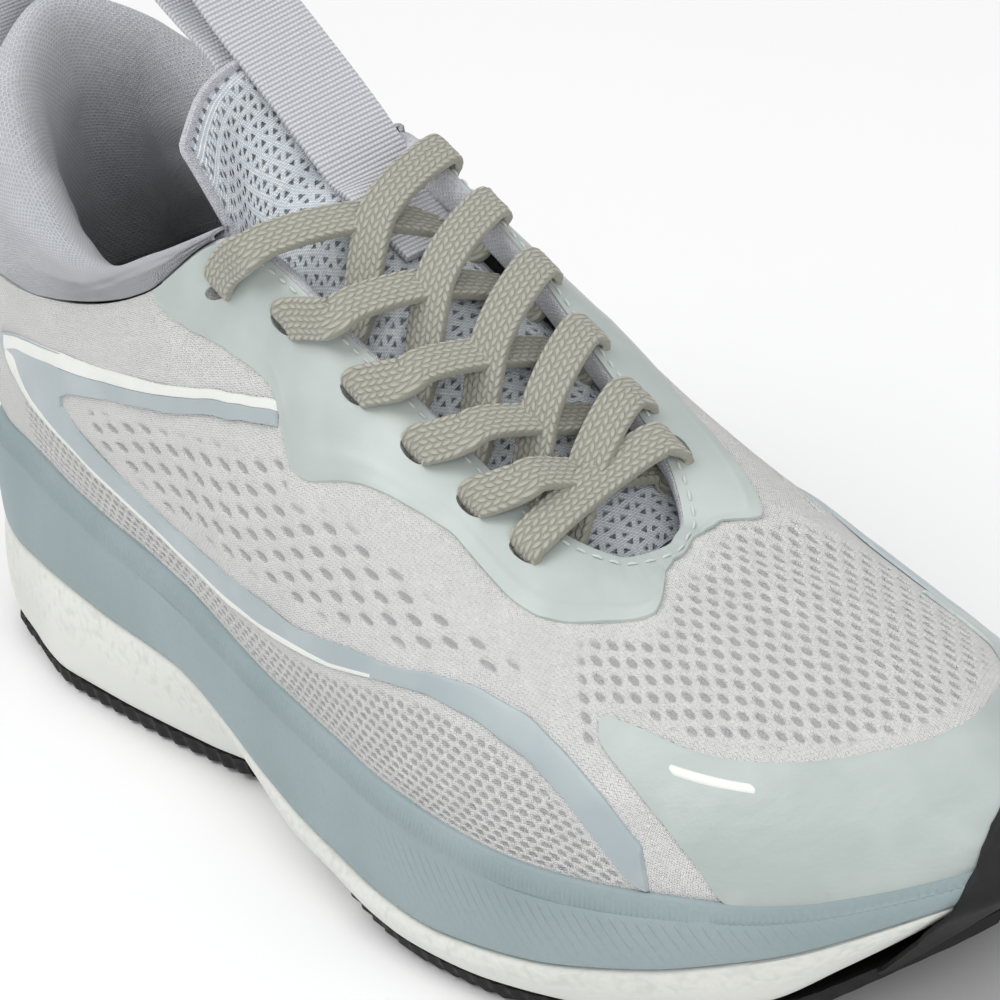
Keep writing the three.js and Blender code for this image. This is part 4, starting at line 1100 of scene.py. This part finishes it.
def collar():
    columns, rows, skirt = 420, 44, 26
    s = np.linspace(-COLLAR_SPAN, COLLAR_SPAN, columns + 1)
    crest = spline(COLLAR, s + 5, closed=False)
    seam = face(s, 1)
    inward = -unit(face_normal(s, 1) * [1, 1, 0])
    depth = crest[:, 3:]
    foot = seam + inward * (depth / 2 - 0.2) + UP * 0.7
    outline = spline(ROLL, np.linspace(0, len(ROLL) - 1, rows), closed=False)
    grid = []
    arc = lengths(crest[:, :3])
    pinch = 1 + 0.05 * waves(arc, arc * 0, 34.0, 0.5)[:, None]
    for height, side in outline:
        grid.append(foot + (crest[:, :3] - foot) * height + inward * side * depth / 2 * pinch)
    end = grid[-1]
    lined = on_upper(s, 0.42, -5.2)
    for f in np.linspace(0, 1, skirt + 1)[1:]:
        ease = f * f * (3 - 2 * f)
        middle = end + (lined - end) * f
        middle = middle + inward * (depth * 0.18) * math.sin(math.pi * f) * (1 - ease)
        grid.append(middle)
    outer = np.stack(grid, axis=1)
    v = lengths(outer[columns // 2])
    wrinkle = waves(arc[:, None] + 0 * v, v[None, :] + 0 * arc[:, None], 21.0, 3.0) * 0.35
    outer = outer + inward[:, None] * wrinkle[..., None]
    # A thin body: the inside follows the outside a little way in.
    along = np.gradient(outer, axis=0)
    up = np.gradient(outer, axis=1)
    normal = unit(np.cross(along, up))
    inner = outer - normal * 0.7
    uv = np.stack(np.broadcast_arrays(arc[:, None], v[None, :]), axis=-1)
    # Painted shade: darker from past the roll's crest down into the shoe.
    inside_shade = np.clip((np.arange(outer.shape[1]) - rows * 0.6) / skirt, 0, 1) + 0 * arc[:, None]
    piece = closed_sheet("collar_roll", outer, inner, uv, COLLAR_MESH, step=1, masks={"inside_shade": inside_shade})
    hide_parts("collar_lining", "collar_foam")
    ride(piece, "shoe")


# ---- throat binding -----------------------------------------------------------------------
# Out from the throat's edge and up from it, round the binding.
BINDING_SECTION = [
    (0.1, -2.0), (0.25, -0.9), (0.1, 0.0), (-0.7, 0.5), (-1.8, 0.7), (-3.2, 0.5), (-4.6, -0.1), (-5.1, -1.2),
    (-5.1, -3.2), (-3.4, -3.2), (-1.5, -2.6), (-0.1, -2.4),
]


def bindings():
    for name, start, end in (("lateral", 4.2, 11.0), ("medial", 11.0, 17.8)):
        s = np.linspace(start, end, 301)
        top, normal = face(s, 1), face_normal(s, 1)
        rise = unit(face(s, 1.0) - face(s, 0.97))
        dense = spline(BINDING_SECTION, np.arange(0, len(BINDING_SECTION), 0.5))
        rings = np.array([top + normal * out + rise * up for out, up in dense])
        round_it = np.arange(len(dense)) * 0.7
        piece = tube("throat_binding_" + name, rings, lengths(top), round_it, BINDING)
        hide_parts("throat_binding_" + name)
        bend_with_toe(piece)


def tube(name, rings, arc, around, material):
    """A closed body from rings[k][i]: k round the section, i along the path; uv is (round, along)."""
    k, n = rings.shape[:2]
    points = rings.transpose(1, 0, 2).reshape(-1, 3)
    ids = np.arange(n * k).reshape(n, k)
    closed = np.concatenate([ids, ids[:, :1]], axis=1)
    quads = np.stack([closed[:-1, :-1], closed[1:, :-1], closed[1:, 1:], closed[:-1, 1:]], axis=-1).reshape(-1, 4)
    a, b, c = points[quads[0][0]], points[quads[0][1]], points[quads[0][2]]
    middle = points[:k].mean(axis=0)
    outwards = np.dot(np.cross(b - a, c - a), a - middle) > 0
    faces = [list(q) if outwards else list(q[::-1]) for q in quads]
    first, last = list(ids[0]), list(ids[-1])
    faces += [first[::-1], last] if not outwards else [first, last[::-1]]
    uv = np.stack(np.broadcast_arrays(np.asarray(around)[None, :], np.asarray(arc)[:, None]), axis=-1)
    return make_object(name, points, faces, uv.reshape(-1, 2), material)


def path_through(points, spacing, alpha=0.5):
    """Even points along a centripetal Catmull-Rom curve through the given ones."""
    p = np.array(points, float)
    p = np.concatenate([[2 * p[0] - p[1]], p, [2 * p[-1] - p[-2]]])
    out = []
    for a, b, c, d in zip(p, p[1:], p[2:], p[3:]):
        t = [0.0]
        for q, r in ((a, b), (b, c), (c, d)):
            t.append(t[-1] + max(np.linalg.norm(r - q), 1e-3) ** alpha)
        x = np.linspace(t[1], t[2], 25)[:-1, None]
        a1 = (t[1] - x) / (t[1] - t[0]) * a + (x - t[0]) / (t[1] - t[0]) * b
        a2 = (t[2] - x) / (t[2] - t[1]) * b + (x - t[1]) / (t[2] - t[1]) * c
        a3 = (t[3] - x) / (t[3] - t[2]) * c + (x - t[2]) / (t[3] - t[2]) * d
        b1 = (t[2] - x) / (t[2] - t[0]) * a1 + (x - t[0]) / (t[2] - t[0]) * a2
        b2 = (t[3] - x) / (t[3] - t[1]) * a2 + (x - t[1]) / (t[3] - t[1]) * a3
        out.append((t[2] - x) / (t[2] - t[1]) * b1 + (x - t[1]) / (t[2] - t[1]) * b2)
    out = np.concatenate(out + [p[-2:-1]])
    arc = lengths(out)
    even = np.linspace(0, arc[-1], int(arc[-1] / spacing) + 2)
    return np.stack([np.interp(even, arc, out[:, k]) for k in range(3)], axis=1), even


def swept(name, path, arc, width_at, width, thickness, material, sides=20, square=0.55, relief=None):
    """A flat band with rounded edges along a path, its width along a direction."""
    tangent = unit(np.gradient(path, axis=0))
    side = width_at - tangent * np.sum(width_at * tangent, axis=1, keepdims=True)
    side = unit(side)
    up = np.cross(tangent, side)
    turn = np.linspace(0, 2 * math.pi, sides + 1)[:-1] + math.pi / sides
    c, s = np.cos(turn), np.sin(turn)
    wide = np.sign(c) * np.abs(c) ** square * width / 2
    high = np.sign(s) * np.abs(s) ** square * thickness / 2
    rings = []
    for w, z in zip(wide, high):
        lift = 0 if relief is None else relief(w / (width / 2), arc)[:, None]
        rings.append(path + side * w + up * (z + np.sign(z) * lift))
    return tube(name, np.array(rings), arc, wide, material)


# ---- tongue -------------------------------------------------------------------------------
TONGUE_UNDER = -8.6
TONGUE_DEPTH = 6.9
TONGUE_COLUMNS = 144
TONGUE_MIDDLE = TONGUE_COLUMNS // 2
RIM_START = 185  # the row of the tongue's grid from which its edge is bound
TONGUE_TOP_EDGE = [(-49, -17, 124), (-51, -9, 131), (-52, 2, 134), (-51, 12, 131.5), (-49, 19, 124)]


def crown(s):
    """How much the tongue's middle rises above a straight line, from the toe end to the ankle."""
    return 3.5 * np.clip((9.0 - s) / 3.0, 0, 1)


def tongue_row(s):
    """Five points across the tongue at a station, lateral wing to medial wing."""
    l0, l1 = on_upper(s, 0.72, TONGUE_UNDER), on_upper(s, 1, TONGUE_UNDER)
    m0, m1 = on_upper(mirrored(s), 0.72, TONGUE_UNDER), on_upper(mirrored(s), 1, TONGUE_UNDER)
    lift = 1 + crown(s)
    return np.array([l0, l1, (l1 + m1) / 2 + UP * lift, m1, m0])


def tongue_rows():
    rows = [tongue_row(s) for s in np.arange(9.0, 4.99, -0.25)]
    start = rows[-1]
    bend = start + np.stack([np.full(5, -13.0), start[:, 1] * -0.42, np.full(5, 12.0)], axis=1)
    edge = np.array(TONGUE_TOP_EDGE, float)
    for f in np.linspace(0, 1, 8)[1:]:
        rows.append(start * (1 - f) ** 2 + 2 * bend * f * (1 - f) + edge * f * f)
    return np.array(rows)


def tongue():
    rows = tongue_rows()
    along = np.linspace(0, len(rows) - 1, 361)
    across_it = np.linspace(0, 4, TONGUE_COLUMNS + 1)
    fine = spline(rows, along, closed=False)  # (361, 5, 3)
    grid = spline(fine.transpose(1, 0, 2), across_it, closed=False).transpose(1, 0, 2)
    normal = unit(np.cross(np.gradient(grid, axis=1), np.gradient(grid, axis=0)))
    normal = normal * np.where(np.sum(normal * UP, axis=-1, keepdims=True).mean() < 0, -1, 1)
    v = lengths(grid[:, TONGUE_MIDDLE])
    u = lengths(grid[300])
    from_side = np.minimum(u, u[-1] - u)[None, :]
    from_end = (v[-1] - v)[:, None]
    r = TONGUE_DEPTH / 2
    full = np.sqrt(1 - (1 - np.clip(from_side / r, 0, 1)) ** 2) * np.sqrt(1 - (1 - np.clip(from_end / r, 0, 1)) ** 2)
    uu, vv = np.broadcast_arrays(u[None, :], v[:, None])
    swell = waves(uu, vv, 26.0, 4.0) * 0.3
    edge = np.clip(1 - np.minimum(np.broadcast_to(from_side, uu.shape), from_end) / 4.5, 0, 1)
    relief = stars(uu, vv) * 0.42 * (edge < 0.05)
    outer = grid + normal * (-r + r * full + relief + swell * full)[..., None]
    inner = grid + normal * (-r - r * full)[..., None]
    uv = np.stack([uu, vv], axis=-1)
    n = np.cross(outer[1, 0] - outer[0, 0], outer[0, 1] - outer[0, 0])
    if np.dot(n, normal[0, 0]) < 0:
        outer, inner, uv = outer[:, ::-1], inner[:, ::-1], uv[:, ::-1]
    piece = closed_sheet("tongue", outer, inner, uv, TONGUE_MESH, step=4)
    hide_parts("tongue_face", "tongue_foam", "tongue_lining", "tongue_top")
    bend_with_tongue(piece)
    rim(grid, normal, r)
    return grid, normal


def rim(grid, normal, r):
    """The bound edge of the tongue above the laces."""
    top = RIM_START
    lateral, medial, crest = grid[top:, 0], grid[top:, -1], grid[-1]
    loop = np.concatenate([lateral, crest[1:-1], medial[::-1]])
    inward = np.concatenate([normal[top:, 0], normal[-1, 1:-1], normal[top:, -1][::-1]])
    path, arc = path_through((loop - inward * r)[::6], 1.0)
    centre = grid[top:, TONGUE_MIDDLE].mean(axis=0)
    turn = np.linspace(0, 2 * math.pi, 15)[:-1]
    tangent = unit(np.gradient(path, axis=0))
    to_centre = centre - path
    side = unit(to_centre - tangent * np.sum(to_centre * tangent, axis=1, keepdims=True))
    up = np.cross(tangent, side)
    rings = [path - side * (math.cos(t) * 1.2 - 0.7) + up * math.sin(t) * (r - 0.6) for t in turn]
    piece = tube("tongue_binding", np.array(rings), arc, turn * 2.2, BINDING)
    bend_with_tongue(piece)


# ---- webbing ------------------------------------------------------------------------------
LOOP_WIDTH = 18.6
TAB_WIDTH = 16.0
# x and z down the patch that is sewn to the heel
TAB_ROOT = [(-149.0, 93.6), (-148.4, 90), (-147.8, 85), (-147.9, 79.5), (-148.7, 75), (-149.6, 71)]
STRAP_COLUMN = 96  # of the tongue's grid, under the middle of the strap
STRAP_ROWS = (204, 212, 220, 228, 236)  # of the same grid, where the strap lies on it
LOOP_UPPER = [
    (-33.5, 9.2, 117.4), (-37.8, 9, 121.4), (-43.5, 8.6, 126.6), (-50.2, 8, 132.6), (-58, 7.2, 139.8), (-67, 6.6, 149),
    (-75, 6, 156.2), (-83, 6, 158.3),
    (-86, 6, 152), (-80, 6, 144.5), (-70, 6, 138.5), (-60.5, 6, 134), (-55, 6, 129),
]
TAB_PATH = [
    (-147.6, 93), (-145.4, 104), (-142.3, 119), (-138.5, 131), (-137.5, 140), (-142, 147.5), (-147, 141), (-149.5, 131),
    (-150.5, 119), (-150.8, 104), (-150.9, 93),
]


def straps(grid, normal):
    """The pull strap lies on the tongue under the first crossing, rises off it and folds back."""
    lying = [grid[row, STRAP_COLUMN] + normal[row, STRAP_COLUMN] * 1.2 for row in STRAP_ROWS]
    points = lying + [np.array(p, float) for p in LOOP_UPPER]
    path, arc = path_through(points, 0.8)
    row = STRAP_ROWS[2]
    on_tongue = unit(grid[row, STRAP_COLUMN + 14] - grid[row, STRAP_COLUMN - 14])
    free = np.clip((arc - 14.0) / 16.0, 0, 1)[:, None]
    width = unit(on_tongue * (1 - free) + np.array([0.0, 1.0, 0.0]) * free)
    strap = swept("pull_strap", path, arc, width, LOOP_WIDTH, 1.5, WEBBING, sides=36, square=0.22)
    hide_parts("tongue_pull_loop", "lace_keeper")
    bend_with_tongue(strap)
    tab_points = [(x, 0.0, z) for x, z in TAB_PATH]
    path, arc = path_through(tab_points, 0.8)
    width = np.tile([0.0, 1.0, 0.0], (len(path), 1))
    tab = swept("heel_tab", path, arc, width, TAB_WIDTH, 1.4, WEBBING, sides=36, square=0.22)
    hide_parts("heel_pull_tab")
    ride(tab, "heel_tab")
    path, arc = path_through([(x, 0.0, z) for x, z in TAB_ROOT], 0.8)
    width = np.tile([0.0, 1.0, 0.0], (len(path), 1))
    root_patch = swept("heel_tab_root", path, arc, width, TAB_WIDTH + 1, 2.2, WEBBING, sides=36, square=0.22)
    ride(root_patch, "shoe")
    return points


# ---- lace ---------------------------------------------------------------------------------
LACE_WIDTH = 8.0
LACE_THICKNESS = 2.0
OVER = 2.0  # lace centre above the film
LINING_INSIDE = -4.8
UNDER = (LINING_INSIDE + TONGUE_UNDER) / 2
LOW_CROSSING = -2.2  # lace centres above the middle of the throat's edges
HIGH_CROSSING = 1.0
LIFT = {"lateral": 3.4, "medial": 1.0}  # of a lace above the film where it passes over an edge


def lace_points():
    """Up through one eyelet, across under the far edge and round again, from one tucked end to the other."""
    p = on_upper
    # Stations from an eyelet to where the lace meets the throat's edge, arriving and leaving.
    drift = {"lateral": (0.42, 0.33), "medial": (-0.07, 0.03)}

    def strand(start, end, start_side, end_side, level):
        leave = start[0] + drift[start_side][1]
        arrive = end[0] + drift[end_side][0]
        leave_edge, edge = p(leave, 0.98, UNDER - 0.2), p(arrive, 1, OVER + LIFT[end_side])
        middle = (min(leave, mirrored(leave)) + min(arrive, mirrored(arrive))) / 2
        crossing = (face(leave, 1) + face(arrive, 1)) / 2 + UP * (level + 1.3 * crown(middle))
        rise = edge + (crossing - edge) * 0.2 + UP * 1.2
        half_way = (arrive + end[0]) / 2, (1 + end[1]) / 2
        near = end[0] + (arrive - end[0]) * 0.1
        return [
            p(*start, UNDER), leave_edge, crossing, rise, edge, p(*half_way, OVER + 0.35 * LIFT[end_side]),
            p(near, end[1] + 0.02, OVER - 0.5), p(*end, -1.6),
        ]

    sides = {"lateral": LATERAL_EYELETS, "medial": MEDIAL_EYELETS}

    def half(first, second):
        last = sides[first][-1]
        toward = 0.22 if first == "lateral" else -0.04
        points = [
            p(last[0] + toward, 1.0, OVER + 1), p(last[0] + toward / 2, (1 + last[1]) / 2, OVER + 0.3),
            p(last[0] + toward * 0.1, last[1] + 0.02, OVER - 0.5), p(*last, -1.6),
        ]
        here, there = first, second
        for n in range(len(LATERAL_EYELETS) - 1, 0, -1):
            high = there == "medial"
            points += strand(sides[here][n], sides[there][n - 1], here, there, HIGH_CROSSING if high else LOW_CROSSING)
            here, there = there, here
        return points, here

    def tucked(side):
        def at(s, h):
            return p(mirrored(s) if side == "medial" else s, h, UNDER - 0.3)
        s, h = sides[side][0]
        return [p(s, h - 0.02, UNDER), at(4.7, 0.74), at(4.6, 0.62), at(4.55, 0.5)]

    a, a_end = half("lateral", "medial")
    b, b_end = half("medial", "lateral")
    bar = (face(LATERAL_EYELETS[-1][0] + 0.25, 1) + face(MEDIAL_EYELETS[-1][0], 1)) / 2 + UP * 2.4
    return tucked(a_end)[::-1] + a[::-1] + [bar] + b + tucked(b_end)


def laces():
    path, arc = path_through(lace_points(), 0.5)
    throat = unit((face(8.5, 1) - face(5, 1)) * [1, 0, 1])
    width = np.tile(throat, (len(path), 1))
    piece = swept(
        "laces", path, arc, width, LACE_WIDTH, LACE_THICKNESS, LACE, sides=36, square=0.42,
        relief=lambda w, v: 0.15 * (braid(w, v) - 0.5))
    # The braid's pattern reads across the lace from -1 to 1.
    uv = piece.data.uv_layers["mm"].data
    flat = np.empty(len(uv) * 2)
    uv.foreach_get("uv", flat)
    flat[::2] = flat[::2] / (LACE_WIDTH / 2)
    uv.foreach_set("uv", flat)
    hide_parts("lace")
    bend_with_toe(piece)


# ---- stitches -----------------------------------------------------------------------------
def stitches(name, path, normal, length=2.1, gap=1.1, radius=0.26):
    """Short threads end to end along a path on a surface."""
    arc = lengths(path)
    starts = np.arange(gap, arc[-1] - length, length + gap)
    points, faces = [], []
    turn = np.linspace(0, 2 * math.pi, 7)[:-1]
    profile = [(0.0, 0.15), (0.12, 0.8), (0.5, 1.0), (0.88, 0.8), (1.0, 0.15)]

    def read(rows, at):
        return np.array([np.interp(at, arc, rows[:, j]) for j in range(3)])

    for start in starts:
        base = len(points)
        for f, r in profile:
            at = start + f * length
            c, n = read(path, at), unit(read(normal, at))
            ahead = read(path, at + 0.3) - c
            side = unit(np.cross(ahead, n))
            lift = radius * 0.7 * math.sin(math.pi * f)
            points += [c + n * (lift + radius * r * math.sin(t)) + side * radius * r * math.cos(t) for t in turn]
        for k in range(len(profile) - 1):
            for j in range(6):
                a, b = base + k * 6 + j, base + k * 6 + (j + 1) % 6
                faces.append([a, b, b + 6, a + 6])
        faces.append([base + j for j in range(5, -1, -1)])
        faces.append([base + 24 + j for j in range(6)])
    points = np.array(points)
    return make_object(name, points, faces, points[:, :2], STITCH)


def seams(strap_points):
    s = np.linspace(4.95, 17.05, 500)
    near = 1 - 2.6 / np.interp(s % AROUND, TABLE_S, TABLE_V)
    piece = stitches("throat_stitches", on_upper(s, near, 0.78), face_normal(s, near))
    bend_with_toe(piece)
    start, ahead = np.array(strap_points[0]), np.array(strap_points[1])
    along = unit(ahead - start)
    up = unit(np.cross(along, np.cross(UP, along)))
    up = up * np.sign(up[2])
    side = unit(np.cross(up, along))
    for k, distance in enumerate((1.6, 4.4)):
        middle = start + along * distance + up * 0.8
        line = middle + side * np.linspace(-7.6, 7.6, 20)[:, None]
        piece = stitches("strap_stitches_%d" % (k + 1), line, np.tile(up, (20, 1)), 1.6, 0.9, 0.24)
        bend_with_tongue(piece)


def print_bar():
    t = np.concatenate([[0, 0.004, 0.012, 0.025], np.linspace(0.045, 0.955, 40), [0.975, 0.988, 0.996, 1]])
    t = np.sort(np.concatenate([t, [0.5]]))
    s = 9.32 + 0.58 * t
    middle = 0.422 - 0.042 * t
    half = 0.0135 * np.sqrt(np.clip(1 - (1 - np.clip(np.minimum(t, 1 - t) / 0.05, 0, 1)) ** 2, 0.02, 1))
    w = np.linspace(-1, 1, 9)
    ss = np.repeat(s[:, None], 9, axis=1)
    hh = middle[:, None] + half[:, None] * w[None, :]
    uv = np.stack(upper_uv(ss, hh), axis=-1)
    edge = np.sqrt(np.clip(1 - np.abs(w) ** 4, 0, 1))[None, :]
    piece = closed_sheet("print_bar", on_upper(ss, hh, 0.78 + 0.14 * edge), on_upper(ss, hh, 0.6), uv, TRIM, step=4)
    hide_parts("toe_print_bar")
    bend_with_toe(piece)


# ---- hidden stiffeners and boards ---------------------------------------------------------
def dress_hidden_nodes():
    looks = {
        "strobel_board_rear": BOARD, "strobel_board_front": BOARD, "heel_counter": BOARD, "toe_puff": BOARD,
        "eyestay_backing_lateral": BOARD, "eyestay_backing_medial": BOARD, "aglet_lateral": TRIM, "aglet_medial": TRIM,
    }
    for name, material in looks.items():
        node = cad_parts[name]
        for slot in node.material_slots:
            slot.material = material


# ---- studio -------------------------------------------------------------------------------
def studio():
    mesh = bpy.data.meshes.new("floor")
    mesh.from_pydata([(-6, -6, -0.0005), (6, -6, -0.0005), (6, 6, -0.0005), (-6, 6, -0.0005)], [], [(0, 1, 2, 3)])
    floor_object = bpy.data.objects.new("floor", mesh)
    bpy.context.scene.collection.objects.link(floor_object)
    material = bpy.data.materials.new("floor_paper")
    material.use_nodes = True
    shader = material.node_tree.nodes["Principled BSDF"]
    shader.inputs["Base Color"].default_value = (0.93, 0.93, 0.93, 1)
    shader.inputs["Roughness"].default_value = 1.0
    shader.inputs["Specular IOR Level"].default_value = 0.0
    mesh.materials.append(material)
    world = bpy.data.worlds.new("studio")
    world.use_nodes = True
    background = world.node_tree.nodes["Background"]
    background.inputs["Color"].default_value = (1, 1, 1, 1)
    background.inputs["Strength"].default_value = WORLD_STRENGTH
    bpy.context.scene.world = world
    for name, place, width, power in LIGHTS:
        data = bpy.data.lights.new(name, "AREA")
        data.shape, data.size, data.energy = "DISK", width, power
        light = bpy.data.objects.new(name, data)
        light.location = place
        light.rotation_euler = (Vector((0, 0, 0.05)) - Vector(place)).to_track_quat("-Z", "Y").to_euler()
        bpy.context.scene.collection.objects.link(light)
    bpy.context.scene.view_settings.view_transform = "Standard"


WORLD_STRENGTH = 0.5
LIGHTS = [
    ("key", (-0.6, -0.9, 1.7), 1.4, 15.5),
    ("front", (1.5, -0.4, 1.0), 1.2, 9.0),
    ("top", (0.0, 0.3, 2.0), 1.6, 8.0),
]

laces()
upper_shell()
film_overlays()
stripes()
foam_midsole()
carrier_midsole()
outsole()
toe_bumper()
sockliner()
collar()
bindings()
seams(straps(*tongue()))
print_bar()
dress_hidden_nodes()
studio()
